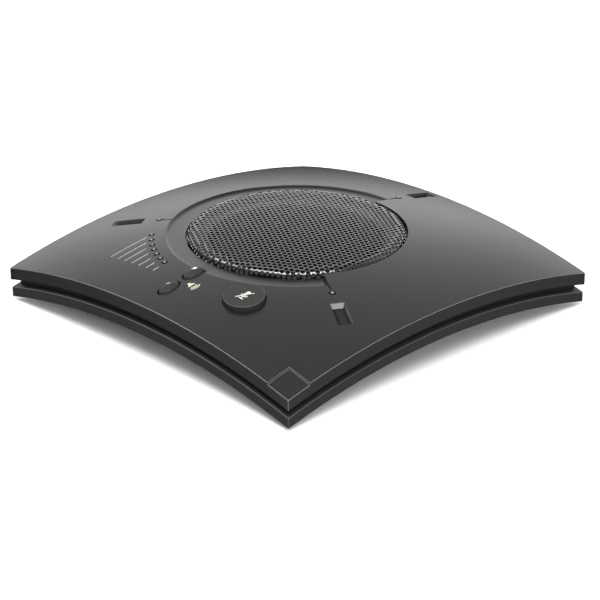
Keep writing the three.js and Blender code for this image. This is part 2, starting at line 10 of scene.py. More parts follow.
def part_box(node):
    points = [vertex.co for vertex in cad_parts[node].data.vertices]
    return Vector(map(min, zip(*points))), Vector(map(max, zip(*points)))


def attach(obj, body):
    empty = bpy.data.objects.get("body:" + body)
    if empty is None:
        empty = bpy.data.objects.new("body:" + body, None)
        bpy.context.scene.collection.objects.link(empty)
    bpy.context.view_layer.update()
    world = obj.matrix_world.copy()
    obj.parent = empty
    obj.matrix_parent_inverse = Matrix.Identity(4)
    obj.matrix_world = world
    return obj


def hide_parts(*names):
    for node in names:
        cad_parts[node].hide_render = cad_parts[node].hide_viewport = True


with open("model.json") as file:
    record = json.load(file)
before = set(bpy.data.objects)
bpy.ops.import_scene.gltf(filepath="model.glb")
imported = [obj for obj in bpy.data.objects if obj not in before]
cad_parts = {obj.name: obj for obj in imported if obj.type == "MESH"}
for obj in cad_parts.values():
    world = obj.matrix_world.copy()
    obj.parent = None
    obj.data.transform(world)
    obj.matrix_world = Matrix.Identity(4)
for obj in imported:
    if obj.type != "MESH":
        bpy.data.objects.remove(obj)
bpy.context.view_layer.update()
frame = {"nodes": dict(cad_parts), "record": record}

# --- driving dimensions, in millimetres

MM = 0.001
HALF = 120.0
CORNER_RADIUS = 0.8
DOME_RADIUS = 502.0
CROWN = 49.92
WALL = 2.4
UPPER_RIM = 7.8
LOWER_LIP = 12.5
LOWER_FLOOR = 16.7
LOWER_RIM = 18.9
LOWER_HALF = HALF - 0.6
LIP_WIDTH = 6.6
EDGE = 0.6  # radius of the shells' outer edges

TUB_RADIUS, TUB_BOTTOM, TUB_WALL, TUB_REAR = 86.0, 1.8, 2.2, 80.0
SEAT_RADIUS, SEAT_OPENING, SEAT_TOP, SEAT_THICK = 65.2, 52.0, 41.0, 2.4
RING_RADIUS, RING_INNER_Z, RING_OUTER_Z = 77.3, 43.15, 42.65
RAISED_FROM, RAISED_TO = -30.0, 90.0

GRILLE_RADIUS, GRILLE_SHOULDER, GRILLE_RISE, GRILLE_SHEET = 64.0, 4.0, 0.8, 0.45
HOLE_PITCH, HOLE_RADIUS, HOLE_CORNERS, HOLE_CHAMFER = 3.2, 1.4, 12, 0.05

MIC_ANGLES = (90, 210, 330)
LIGHT_CIRCLE = 85.0
WINDOW_CIRCLE, WINDOW_DEPTH = 105.5, 2.1
# A microphone window's inner end, outer end and half width, at its floor and at its mouth.
WINDOW_FLOOR = (-8.1, 7.75, 3.2)
WINDOW_MOUTH = (-10.5, 9.3, 4.25)
LEVEL_COUNT, LEVEL_FIRST_X, LEVEL_PITCH = 7, -59.5, 6.0
STATUS_HOLE, LEVEL_HOLE, PIPE_BORE = 2.0, 1.85, 1.1

MUTE_XY, MUTE_RADIUS, MUTE_HEIGHT = (44.0, -81.6), 11.7, 3.0
VOLUME_UP_XY, VOLUME_DOWN_XY = (0.8, -81.0), (0.8, -99.5)
VOLUME_HALF_WIDTH, VOLUME_HALF_LENGTH, VOLUME_HEIGHT = 4.1, 7.0, 2.1
MUTE_GAP, VOLUME_SIDE_GAP, VOLUME_END_GAP = 0.6, 0.45, 1.1
FLANGE_TOP, FLANGE_BOTTOM = -3.0, -3.8
CORNER_MARK, CORNER_MARK_DEPTH = 16.0, 1.1
SCREW_PLACE, SCREW_SEAT = 98.0, 14.2
FOOT_RADIUS, FOOT_CIRCLE = 7.0, 66.0
CORNERS = ((1, 1), (-1, 1), (-1, -1), (1, -1))


# --- the dome

def dome_z(radius, depth=0.0):
    return CROWN - depth - DOME_RADIUS + math.sqrt(DOME_RADIUS ** 2 - radius ** 2)


def on_dome(x, y, turn=0.0):
    """The frame of a feature on the dome: Z is the outward normal, X turns with the angle."""
    radius = math.hypot(x, y)
    tilt = math.asin(radius / DOME_RADIUS)
    bearing = math.atan2(y, x)
    place = Matrix.Translation((x, y, dome_z(radius)))
    lean = Matrix.Rotation(bearing, 4, "Z") @ Matrix.Rotation(tilt, 4, "Y")
    return place @ lean @ Matrix.Rotation(math.radians(turn) - bearing, 4, "Z")


def on_circle(radius, degrees):
    angle = math.radians(degrees)
    return on_dome(radius * math.cos(angle), radius * math.sin(angle), degrees)


def sag(x, y):
    """How far the dome drops below the tangent plane of a frame on it."""
    return math.sqrt(DOME_RADIUS ** 2 - x * x - y * y) - DOME_RADIUS


def level_frames():
    xs = [LEVEL_FIRST_X + i * LEVEL_PITCH for i in range(LEVEL_COUNT)]
    return [on_dome(x, -math.sqrt(LIGHT_CIRCLE ** 2 - x * x)) for x in xs]


# --- mesh building

def in_scene(name, data):
    made = bpy.data.objects.new(name, data)
    bpy.context.scene.collection.objects.link(made)
    return made


def new_object(name, vertices, faces, material=None):
    """A mesh object from points in millimetres."""
    mesh = bpy.data.meshes.new(name)
    mesh.from_pydata([Vector(v) * MM for v in vertices], [], faces)
    mesh.validate()
    mesh.update()
    made = in_scene(name, mesh)
    if material:
        mesh.materials.append(material)
    return made


def loft(name, rings, close=False, material=None):
    """Joins rings of equal length. A ring of one point is a pole. close joins the last to the first."""
    vertices, starts = [], []
    for ring in rings:
        starts.append((len(vertices), len(ring)))
        vertices.extend(ring)
    pairs = list(zip(starts, starts[1:]))
    if close:
        pairs.append((starts[-1], starts[0]))
    faces = []
    for (a, na), (b, nb) in pairs:
        count = max(na, nb)
        for i in range(count):
            j = (i + 1) % count
            if na == 1:
                faces.append((a, b + j, b + i))
            elif nb == 1:
                faces.append((a + i, a + j, b))
            else:
                faces.append((a + i, a + j, b + j, b + i))
    return new_object(name, vertices, faces, material)


def lathe(name, profile, matrix=Matrix.Identity(4), segments=64, stretch=(1, 1), follow=True,
          material=None):
    """A closed solid of revolution from (radius, height) pairs, bottom pole to top pole.
    With follow, heights count from the dome's surface instead of the tangent plane."""
    rings = []
    for radius, height in profile:
        ring = []
        for i in range(segments if radius > 1e-9 else 1):
            angle = 2 * math.pi * i / segments
            x = radius * math.cos(angle) * stretch[0]
            y = radius * math.sin(angle) * stretch[1]
            z = height + (sag(x, y) if follow else 0)
            ring.append(matrix @ Vector((x, y, z)))
        rings.append(ring)
    return loft(name, rings, material=material)


def arc(centre, radius, start, stop, steps):
    """Points of an arc in a profile, angles in degrees."""
    points = []
    for i in range(steps + 1):
        angle = math.radians(start + (stop - start) * i / steps)
        points.append((centre[0] + radius * math.cos(angle), centre[1] + radius * math.sin(angle)))
    return points


def boolean(target, cutter, operation="DIFFERENCE", material=None):
    """Cuts target, or joins the cutter to it. New faces take the material given, or else target's first."""
    cutter.data.materials.clear()
    cutter.data.materials.append(material or target.data.materials[0])
    modifier = target.modifiers.new("cut", "BOOLEAN")
    modifier.operation = operation
    modifier.object = cutter
    modifier.solver = "MANIFOLD"
    depsgraph = bpy.context.evaluated_depsgraph_get()
    result = bpy.data.meshes.new_from_object(target.evaluated_get(depsgraph))
    target.modifiers.remove(modifier)
    old = target.data
    target.data = result
    bpy.data.meshes.remove(old)
    bpy.data.objects.remove(cutter)
    return target


def joined(objects, name):
    """Several objects as one."""
    bm = bmesh.new()
    materials = []
    for one in objects:
        offset = len(materials)
        materials.extend(one.data.materials)
        part = one.data.copy()
        part.transform(one.matrix_world)
        for polygon in part.polygons:
            polygon.material_index += offset
        bm.from_mesh(part)
        bpy.data.meshes.remove(part)
    mesh = bpy.data.meshes.new(name)
    bm.to_mesh(mesh)
    bm.free()
    for material in materials:
        mesh.materials.append(material)
    for one in objects:
        bpy.data.objects.remove(one)
    return in_scene(name, mesh)


def gathered(items, attribute, width=1):
    """One attribute of every item, as an array."""
    values = np.zeros(len(items) * width, float if width > 1 else int)
    items.foreach_get(attribute, values)
    return values.reshape(-1, width) if width > 1 else values


def smooth(obj, angle=32.0, depths=()):
    """Smooth shading with sharp edges kept. Faces on the dome, at one of the depths, get the dome's own
    normals."""
    mesh = obj.data
    mesh.polygons.foreach_set("use_smooth", [True] * len(mesh.polygons))
    mesh.set_sharp_from_angle(angle=math.radians(angle))
    if not depths:
        return obj
    points = gathered(mesh.vertices, "co", 3) / MM
    normals = gathered(mesh.corner_normals, "vector", 3)
    face_normal = gathered(mesh.polygon_normals, "vector", 3)
    loop_vertex = gathered(mesh.loops, "vertex_index")
    totals = gathered(mesh.polygons, "loop_total")
    loop_face = np.repeat(np.arange(len(totals)), totals)
    for depth in depths:
        centre = np.array((0, 0, CROWN - depth - DOME_RADIUS))
        radial = points - centre
        distance = np.linalg.norm(radial, axis=1)
        radial /= distance[:, None]
        on = np.abs(distance - DOME_RADIUS) < 0.02
        face_on = np.ones(len(totals), bool)
        np.logical_and.at(face_on, loop_face, on[loop_vertex])
        facing = (face_normal[loop_face] * radial[loop_vertex]).sum(1)
        chosen = face_on[loop_face] & (np.abs(facing) > 0.99)
        normals[chosen] = radial[loop_vertex[chosen]] * np.sign(facing[chosen])[:, None]
    mesh.normals_split_custom_set([tuple(n) for n in normals])
    return obj


def finished(obj, body, *replaced, slot=None):
    """Puts a piece on its body and, where it stands for CAD nodes, hides those."""
    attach(obj, body)
    if replaced:
        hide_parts(*replaced)
    return obj


# --- outlines

SIDE_STEPS, CORNER_STEPS = 60, 6


def square_outline(half, radius=CORNER_RADIUS):
    """Points round a square with rounded corners, counter-clockwise."""
    straight = half - radius
    points = []
    for side in range(4):
        turn = Matrix.Rotation(math.pi / 2 * side, 2)
        for i in range(SIDE_STEPS):
            points.append(turn @ Vector((half, -straight + 2 * straight * i / SIDE_STEPS)))
        for i in range(CORNER_STEPS):
            angle = math.pi / 2 * i / CORNER_STEPS
            x, y = straight + radius * math.cos(angle), straight + radius * math.sin(angle)
            points.append(turn @ Vector((x, y)))
    return points


BEARINGS = [math.atan2(p.y, p.x) for p in square_outline(HALF)]


def circle_outline(radius, rear=None):
    """The same number of points on a circle, at the same bearings. rear cuts the circle off flat behind."""
    points = [Vector((radius * math.cos(a), radius * math.sin(a))) for a in BEARINGS]
    if rear is not None:
        points = [Vector((p.x, min(p.y, rear))) for p in points]
    return points


def between(first, second, share):
    return [a.lerp(b, share) for a, b in zip(first, second)]


def at_depth(outline, depth):
    """An outline laid on the dome, at a depth under it."""
    return [(p.x, p.y, dome_z(p.length, depth)) for p in outline]


def at_height(outline, z):
    return [(p.x, p.y, z) for p in outline]


def inset_square(half, inset):
    return square_outline(half - inset, max(CORNER_RADIUS - inset, 0.1))


def rounded_rectangle(half_x, half_y, radius, steps=5):
    points = []
    for side, (x, y) in enumerate(CORNERS):
        centre = x * (half_x - radius), y * (half_y - radius)
        points += arc(centre, radius, 90 * side, 90 * side + 90, steps)
    return points


def prism(name, levels, matrix=Matrix.Identity(4), follow=True, material=None):
    """A closed solid through outlines at rising heights: levels holds (points, height) pairs."""
    rings = []
    for points, height in levels:
        rings.append([matrix @ Vector((x, y, height + (sag(x, y) if follow else 0))) for x, y in points])
    made = loft(name, rings, material=material)
    return capped(made, len(rings[0]))


def capped(obj, count=0):
    """Closes both ends of an open loft of rings with count points, and turns all faces outward."""
    bm = bmesh.new()
    bm.from_mesh(obj.data)
    bm.verts.ensure_lookup_table()
    if count:
        bm.faces.new([bm.verts[i] for i in reversed(range(count))])
        bm.faces.new([bm.verts[i] for i in range(len(bm.verts) - count, len(bm.verts))])
    bmesh.ops.recalc_face_normals(bm, faces=bm.faces)
    bm.to_mesh(obj.data)
    bm.free()
    return obj


# --- the shells

RIM_EDGE = 0.7  # radius of the edges that face the gap and the floor
MARK_FOOT = 0.25  # chamfer at the foot of the corner mark's step
FLARE = 0.18  # radius that softens the edge of every opening


def quarter(steps=4):
    """(sine, cosine) pairs over a quarter turn."""
    angles = [math.pi / 2 * i / steps for i in range(steps + 1)]
    return [(math.sin(angle), math.cos(angle)) for angle in angles]


def edge_highlighted(obj, half, material):
    """Gives the narrow rounded faces along a shell's outer edges, and round its corner mark, a lighter
    material: a painted highlight along the edges."""
    index = len(obj.data.materials)
    obj.data.materials.append(material)
    start = HALF - CORNER_MARK
    for polygon in obj.data.polygons:
        centre = polygon.center / MM
        normal = polygon.normal
        upward = Vector((centre.x, centre.y, centre.z - CROWN + DOME_RADIUS)).normalized()
        slant = normal.dot(upward)
        if not -0.2 < slant < 0.985 or max(abs(normal.x), abs(normal.y)) > 0.9:
            continue
        outer = max(abs(centre.x), abs(centre.y)) > half - EDGE - 0.05 and slant < 0.94
        across = min(centre.x, -centre.y)
        mark = (start - 1 < across < start + MARK_FOOT and slant > 0.15
                and centre.z > dome_z(centre.xy.length, CORNER_MARK_DEPTH + 0.2))
        # these faces take the lighter material, a painted edge highlight
        if outer or mark:
            polygon.material_index = index
    return obj


def make_upper_shell(material, window, edge):
    rings = []
    for s, c in quarter():
        rings.append(at_depth(inset_square(HALF, RIM_EDGE * (1 - s)), UPPER_RIM - RIM_EDGE * (1 - c)))
    rings.append(at_depth(square_outline(HALF), UPPER_RIM - RIM_EDGE - 0.1))
    rings.append(at_depth(square_outline(HALF), EDGE + 0.1))
    for s, c in quarter():
        rings.append(at_depth(inset_square(HALF, EDGE * (1 - c)), EDGE * (1 - s)))
    outside = inset_square(HALF, EDGE)
    opening = circle_outline(SEAT_RADIUS + FLARE)
    for i in range(1, 25):
        rings.append(at_depth(between(outside, opening, i / 24), 0))
    for s, c in quarter(3)[1:]:
        rings.append(at_depth(circle_outline(SEAT_RADIUS + FLARE * (1 - s)), FLARE * (1 - c)))
    collar = RING_RADIUS + 4
    seat_wall, seat_back, ring_back = SEAT_RADIUS + WALL, SEAT_TOP - SEAT_THICK, RING_INNER_Z - WALL
    for radius, z in ((SEAT_RADIUS, SEAT_TOP), (SEAT_OPENING, SEAT_TOP), (SEAT_OPENING, seat_back),
                      (seat_wall, seat_back), (seat_wall, ring_back), (collar, ring_back)):
        rings.append(at_height(circle_outline(radius), z))
    inside = inset_square(HALF, WALL)
    for i in range(9):
        rings.append(at_depth(between(circle_outline(collar), inside, i / 8), WALL))
    rings.append(at_depth(inside, UPPER_RIM))
    shell = loft("upper_shell_looks", rings, close=True, material=material)

    for place in CORNERS:
        boolean(shell, screw_boss(place), "UNION")
    boolean(shell, dish_cutter())
    for angle in MIC_ANGLES:
        boolean(shell, window_cutter(on_circle(WINDOW_CIRCLE, angle)), material=window)
        boolean(shell, groove_cutter(on_circle(LIGHT_CIRCLE, angle)))
        boolean(shell, light_cutter(on_circle(LIGHT_CIRCLE, angle), STATUS_HOLE))
    for place in level_frames():
        boolean(shell, light_cutter(place, LEVEL_HOLE))
    boolean(shell, key_cutter(on_dome(*MUTE_XY), MUTE_RADIUS + MUTE_GAP, (1, 1)))
    wide, long = VOLUME_HALF_WIDTH + VOLUME_SIDE_GAP, VOLUME_HALF_LENGTH + VOLUME_END_GAP
    for xy in (VOLUME_UP_XY, VOLUME_DOWN_XY):
        boolean(shell, key_cutter(on_dome(*xy), wide, (1, long / wide)))
    boolean(shell, corner_mark_cutter())
    return smooth(edge_highlighted(shell, HALF, edge), depths=(0, CORNER_MARK_DEPTH))


def screw_boss(place):
    x, y = (SCREW_PLACE * sign for sign in place)
    top = dome_z(math.hypot(x, y), WALL) + 0.8
    profile = [(0, 20), (1.3, 20), (1.3, 17.3), (4, 17.3), (4, top), (0, top)]
    return lathe("boss", profile, Matrix.Translation((x, y, 0)), segments=24, follow=False)


def dish_cutter():
    """The dished ring's room: a floor with a soft fillet, a low outer wall, and flat ends at the raised
    sector."""
    fillet = 3.5
    wall = RING_RADIUS
    top = dome_z(wall)
    rise = math.degrees(math.acos(1 - (top - RING_OUTER_Z) / fillet))
    profile = [(SEAT_OPENING + 6, RING_INNER_Z), (SEAT_RADIUS, RING_INNER_Z)]
    foot = wall - fillet * math.sin(math.radians(rise))
    profile += arc((foot, RING_OUTER_Z + fillet), fillet, -90, rise - 90, 9)
    profile += [(wall + 0.12, top + 0.02), (wall + 0.12, CROWN + 8), (SEAT_OPENING + 6, CROWN + 8)]
    rings = []
    steps = 120
    for i in range(steps + 1):
        angle = math.radians(RAISED_TO + (360 + RAISED_FROM - RAISED_TO) * i / steps)
        rings.append([(r * math.cos(angle), r * math.sin(angle), z) for r, z in profile])
    return capped(loft("dish", rings), len(profile))


def key_cutter(place, radius, stretch):
    """A straight bore, with a softened edge at the surface."""
    profile = [(0, -12), (radius, -12)]
    profile += [(radius + x, y) for x, y in arc((FLARE, -FLARE), FLARE, 180, 95, 3)]
    profile += [(radius + FLARE, 6), (0, 6)]
    return lathe("key_room", profile, place, segments=96, stretch=stretch)


def light_cutter(place, mouth):
    """A stepped hole for a light pipe."""
    profile = [(0, -9), (PIPE_BORE, -9), (PIPE_BORE, -4.4), (mouth, -4.3), (mouth, -0.15),
               (mouth + 0.12, 0.03), (mouth + 0.12, 3), (0, 3)]
    return lathe("light_room", profile, place, segments=40)


def groove_cutter(place):
    half, deep = 0.45, 0.8
    outline = [(-7.9, -half), (-0.8, -half), (-0.8, half), (-7.9, half)]
    wider = [(x, y * 1.35) for x, y in outline]
    return prism("groove", [(outline, -deep), (outline, -0.12), (wider, 0.02), (wider, 2)], place)


def window_cutter(place):
    def outline(ends, wider, radius):
        inner, outer, half = ends
        middle = (inner + outer) / 2
        flat = rounded_rectangle((outer - inner) / 2 + wider, half + wider, radius)
        return [(x + middle, y) for x, y in flat]

    floor = outline(WINDOW_FLOOR, 0, 0.35)
    mouth = outline(WINDOW_MOUTH, -0.05, 0.5)
    lip = outline(WINDOW_MOUTH, 0.1, 0.6)
    levels = [(floor, -6), (floor, -WINDOW_DEPTH), (mouth, -0.12), (lip, 0.02), (lip, 3)]
    return prism("window", levels, place)


def corner_mark_cutter():
    """Everything above the square mark: its floor is the dome, lowered, with the shell's own edge radius."""
    start = HALF - CORNER_MARK
    flat_end = HALF - EDGE
    foot = start + MARK_FOOT
    steps = [foot + (flat_end - foot) * i / 8 for i in range(9)]
    steps += [flat_end + EDGE * s for s, c in quarter(4)[1:]] + [HALF + 1.5]
    rows = []
    for v in steps:
        row = []
        for u in steps:
            past = min(math.hypot(max(u - flat_end, 0), max(v - flat_end, 0)), EDGE)
            drop = EDGE - math.sqrt(EDGE ** 2 - past ** 2)
            row.append((u, -v, dome_z(math.hypot(u, v), CORNER_MARK_DEPTH + drop)))
        rows.append(row)
    n = len(steps)
    vertices = [p for row in rows for p in row]
    faces = [(r * n + c, r * n + c + 1, (r + 1) * n + c + 1, (r + 1) * n + c)
             for r in range(n - 1) for c in range(n - 1)]
    rim = ([c for c in range(n)] + [r * n + n - 1 for r in range(1, n)]
           + [(n - 1) * n + c for c in range(n - 2, -1, -1)] + [r * n for r in range(n - 2, 0, -1)])
    previous = rim
    for depth, out in ((CORNER_MARK_DEPTH - MARK_FOOT, 0), (0.35, 0), (0.17, 0.05), (0.05, 0.17),
                       (-0.02, 0.35), (-9, 0.35)):
        first = len(vertices)
        for index in rim:
            x, y, _ = vertices[index]
            x = start - out if x < foot + 0.01 else x
            y = out - start if y > -foot - 0.01 else y
            vertices.append((x, y, dome_z(math.hypot(x, y), depth)))
        ring = list(range(first, first + len(rim)))
        for i in range(len(rim)):
            j = (i + 1) % len(rim)
            faces.append((previous[i], previous[j], ring[j], ring[i]))
        previous = ring
    faces.append(tuple(previous))
    return capped(new_object("corner_room", vertices, faces))


def make_lower_shell(material, edge):
    fillet = 2.0
    foot_edge = 1.2
    half = LOWER_HALF
    rings = [[(0, 0, TUB_BOTTOM)]]
    for share in (0.25, 0.5, 0.75):
        rings.append(at_height(circle_outline(TUB_RADIUS * share), TUB_BOTTOM))
    for s, c in quarter():
        inset = foot_edge * (1 - s)
        outline = circle_outline(TUB_RADIUS - inset, TUB_REAR - inset)
        rings.append(at_height(outline, TUB_BOTTOM + foot_edge * (1 - c)))
    for s, c in quarter():
        outset = fillet * (1 - c)
        outline = circle_outline(TUB_RADIUS + outset, TUB_REAR + outset)
        rings.append(at_depth(outline, LOWER_RIM + fillet * (1 - s)))
    skirt = circle_outline(TUB_RADIUS + fillet, TUB_REAR + fillet)
    for i in range(1, 13):
        rings.append(at_depth(between(skirt, inset_square(half, RIM_EDGE), i / 12), LOWER_RIM))
    for s, c in quarter()[1:]:
        rings.append(at_depth(inset_square(half, RIM_EDGE * (1 - s)), LOWER_RIM - RIM_EDGE * (1 - c)))
    rings.append(at_depth(square_outline(half), LOWER_RIM - RIM_EDGE - 0.1))
    rings.append(at_depth(square_outline(half), LOWER_LIP + EDGE + 0.1))
    for s, c in quarter():
        rings.append(at_depth(inset_square(half, EDGE * (1 - c)), LOWER_LIP + EDGE * (1 - s)))
    lip = inset_square(half, LIP_WIDTH)
    rings.append(at_depth(inset_square(half, LIP_WIDTH - 0.3), LOWER_LIP))
    rings.append(at_depth(lip, LOWER_LIP + 0.3))
    inner = circle_outline(TUB_RADIUS - TUB_WALL, TUB_REAR - TUB_WALL)
    for i in range(9):
        rings.append(at_depth(between(lip, inner, i / 8), LOWER_FLOOR))
    rings.append(at_height(inner, TUB_BOTTOM + TUB_WALL))
    rings.append([(0, 0, TUB_BOTTOM + TUB_WALL)])
    shell = loft("lower_shell_looks", rings, material=material)

    diagonal = math.sqrt(0.5)
    for sx, sy in CORNERS:
        place = Matrix.Translation((sx * FOOT_CIRCLE * diagonal, sy * FOOT_CIRCLE * diagonal, 0))
        bore = FOOT_RADIUS + 0.3
        profile = [(0, -1), (bore + 0.2, -1), (bore + 0.2, TUB_BOTTOM), (bore, TUB_BOTTOM + 0.15),
                   (bore, TUB_BOTTOM + 0.7), (0, TUB_BOTTOM + 0.7)]
        boolean(shell, lathe("foot_room", profile, place, segments=64, follow=False))
        place = Matrix.Translation((sx * SCREW_PLACE, sy * SCREW_PLACE, 0))
        boss = [(0, 12.7), (5.5, 12.7), (5.5, 17), (0, 17)]
        boolean(shell, lathe("screw_boss", boss, place, segments=40, follow=False), "UNION")
        bore = [(0, 0), (3.4, 0), (3.4, SCREW_SEAT), (1.7, SCREW_SEAT), (1.7, 30), (0, 30)]
        boolean(shell, lathe("screw_room", bore, place, segments=40, follow=False))
    outline = rounded_rectangle(24, 14, 1.5)
    levels = [(outline, -1), (outline, TUB_BOTTOM + 0.5)]
    boolean(shell, prism("label_room", levels, follow=False))
    for name in ("usb_socket", "power_jack", "expansion_socket"):
        boolean(shell, socket_opening(name))
    return smooth(edge_highlighted(shell, LOWER_HALF, edge))


def cad_box_of(name):
    """A CAD node's lowest and highest corner."""
    return [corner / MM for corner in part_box(name)]


def socket_opening(name):
    low, high = cad_box_of(name)
    gap = 0.3
    half = ((high.x - low.x) / 2 + gap, (high.z - low.z) / 2 + gap)
    place = Matrix.Translation(((low.x + high.x) / 2, TUB_REAR - 4, (low.z + high.z) / 2))
    outline = rounded_rectangle(*half, 0.6)
    wider = rounded_rectangle(half[0] + 0.3, half[1] + 0.3, 0.8)
    levels = [(outline, 0), (outline, 3.7), (wider, 4.02), (wider, 9)]
    return prism("socket_room", levels, place @ Matrix.Rotation(-math.pi / 2, 4, "X"), follow=False)


# --- the grille

def make_grille(material, bore):
    start = GRILLE_RADIUS - GRILLE_SHOULDER
    lean = math.degrees(math.asin(start / DOME_RADIUS))
    centre = (start, dome_z(start) + GRILLE_RISE - GRILLE_SHOULDER)

    def side(inset):
        points = [(start * i / 12, dome_z(start * i / 12) + GRILLE_RISE - inset) for i in range(12)]
        points += arc(centre, GRILLE_SHOULDER - inset, 90 - lean, 0, 8)
        return points + [(GRILLE_RADIUS - inset, SEAT_TOP + 0.3)]

    profile = side(GRILLE_SHEET) + list(reversed(side(0)))
    sheet = lathe("speaker_grille_looks", profile, segments=240, follow=False, material=material)
    # The hole walls take a darker, duller material than the sheet: painted shade inside the holes.
    boolean(sheet, grille_holes(centre), material=bore)
    # The steep outer faces of the rolled edge take it too: a painted shade band along the grille's side.
    dark = sheet.data.materials.find(bore.name)
    for polygon in sheet.data.polygons:
        if abs(polygon.normal.z) < 0.45:
            polygon.material_index = dark
    return smooth(sheet, angle=40, depths=(-GRILLE_RISE,))


def grille_holes(centre):
    """Cutters on a staggered lattice, one row of holes running along Y. Past the shoulder's start the
    lattice bends down with the sheet."""
    row = HOLE_PITCH * math.sqrt(3) / 2
    limit = centre[0] + GRILLE_SHOULDER * math.pi / 2
    count = int(limit / row) + 1
    vertices, faces = [], []
    for i in range(-count, count + 1):
        for j in range(-count - 1, count + 2):
            x = i * row
            y = (j + (0.5 if i % 2 else 0)) * HOLE_PITCH
            reach = math.hypot(x, y)
            if reach > limit:
                continue
            first = len(vertices)
            if reach < centre[0] - 0.8:
                vertices.extend(upright_hole(x, y))
            else:
                vertices.extend(shoulder_hole(centre, math.atan2(y, x), reach))
            faces.extend(tube_faces(first, HOLE_CORNERS, 4))
    return new_object("holes", vertices, faces)


def upright_hole(x, y):
    points = []
    for radius, rise in ((HOLE_RADIUS, -2), (HOLE_RADIUS, -HOLE_CHAMFER), (HOLE_RADIUS + HOLE_CHAMFER, 0.01),
                         (HOLE_RADIUS + HOLE_CHAMFER, 1)):
        for k in range(HOLE_CORNERS):
            angle = 2 * math.pi * (k + 0.5) / HOLE_CORNERS
            px = x + radius * math.cos(angle)
            py = y + radius * math.sin(angle)
            points.append((px, py, dome_z(math.hypot(px, py)) + GRILLE_RISE + rise))
    return points


def shoulder_hole(centre, bearing, reach):
    """A hole square to the rolled edge. reach is its distance from the middle along the sheet."""
    lean = math.pi / 2 - math.asin(centre[0] / DOME_RADIUS) - max(reach - centre[0], 0) / GRILLE_SHOULDER
    lean = max(lean, 0)
    turn = Matrix.Rotation(bearing, 4, "Z")
    out = Vector((math.cos(lean), 0, math.sin(lean)))
    up = Vector((-math.sin(lean), 0, math.cos(lean)))
    middle = Vector((min(reach, centre[0]), 0, centre[1]))
    points = []
    for radius, rise in ((HOLE_RADIUS * 0.84, -0.65), (HOLE_RADIUS * 0.97, -HOLE_CHAMFER), (HOLE_RADIUS, 0.04),
                         (HOLE_RADIUS, 0.8)):
        for k in range(HOLE_CORNERS):
            angle = 2 * math.pi * k / HOLE_CORNERS
            point = middle + out * (GRILLE_SHOULDER + rise) + up * (radius * math.sin(angle))
            points.append(tuple(turn @ (point + Vector((0, radius * math.cos(angle), 0)))))
    return points


def tube_faces(first, corners, levels):
    faces = [tuple(first + k for k in reversed(range(corners)))]
    for level in range(levels - 1):
        base = first + level * corners
        for k in range(corners):
            j = (k + 1) % corners
            faces.append((base + k, base + j, base + corners + j, base + corners + k))
    top = first + (levels - 1) * corners
    faces.append(tuple(top + k for k in range(corners)))
    return faces


# --- keys, lights and prints

PRINT = 0.04  # height of printed ink above the surface


def make_mute_key(material, edge):
    place = on_dome(*MUTE_XY)
    top = MUTE_HEIGHT
    chamfer = 0.3
    profile = [(0, FLANGE_BOTTOM), (13.2, FLANGE_BOTTOM), (13.2, FLANGE_TOP), (MUTE_RADIUS, FLANGE_TOP),
               (MUTE_RADIUS, top - chamfer - 0.15), (MUTE_RADIUS, top - chamfer)]
    profile += arc((MUTE_RADIUS - chamfer, top - chamfer), chamfer, 15, 90, 5)
    profile += [(MUTE_RADIUS - chamfer - 0.15, top), (MUTE_RADIUS * 0.5, top), (0, top)]
    key = lathe("mute_button_looks", profile, place, segments=128, material=material)
    key.data.materials.append(edge)
    up = place.to_3x3().col[2]
    lowest = dome_z(MUTE_XY[0]) - 10
    # The chamfer's faces take a lighter material: a painted highlight on the key's edge.
    for polygon in key.data.polygons:
        if 0.1 < polygon.normal.dot(up) < 0.97 and polygon.center.z / MM > lowest:
            polygon.material_index = 1
    return smooth(key)


def volume_crown(x, y):
    """Height of a volume key's domed top over the surface."""
    reach = min((x / VOLUME_HALF_WIDTH) ** 2 + (y / VOLUME_HALF_LENGTH) ** 2, 1.0)
    return -0.6 + (VOLUME_HEIGHT + 0.6) * (1 - reach) ** 0.42


def make_volume_key(name, xy, material):
    place = on_dome(*xy)
    profile = [(0, FLANGE_BOTTOM), (1.2, FLANGE_BOTTOM), (1.2, FLANGE_TOP), (1, FLANGE_TOP), (1, -0.6)]
    steps = 14
    for i in range(1, steps + 1):
        share = math.cos(math.pi / 2 * i / steps)
        profile.append((share if i < steps else 0, volume_crown(share * VOLUME_HALF_WIDTH, 0)))
    stretch = (VOLUME_HALF_WIDTH, VOLUME_HALF_LENGTH)
    return smooth(lathe(name + "_looks", profile, place, segments=96, stretch=stretch, follow=False,
                        material=material))


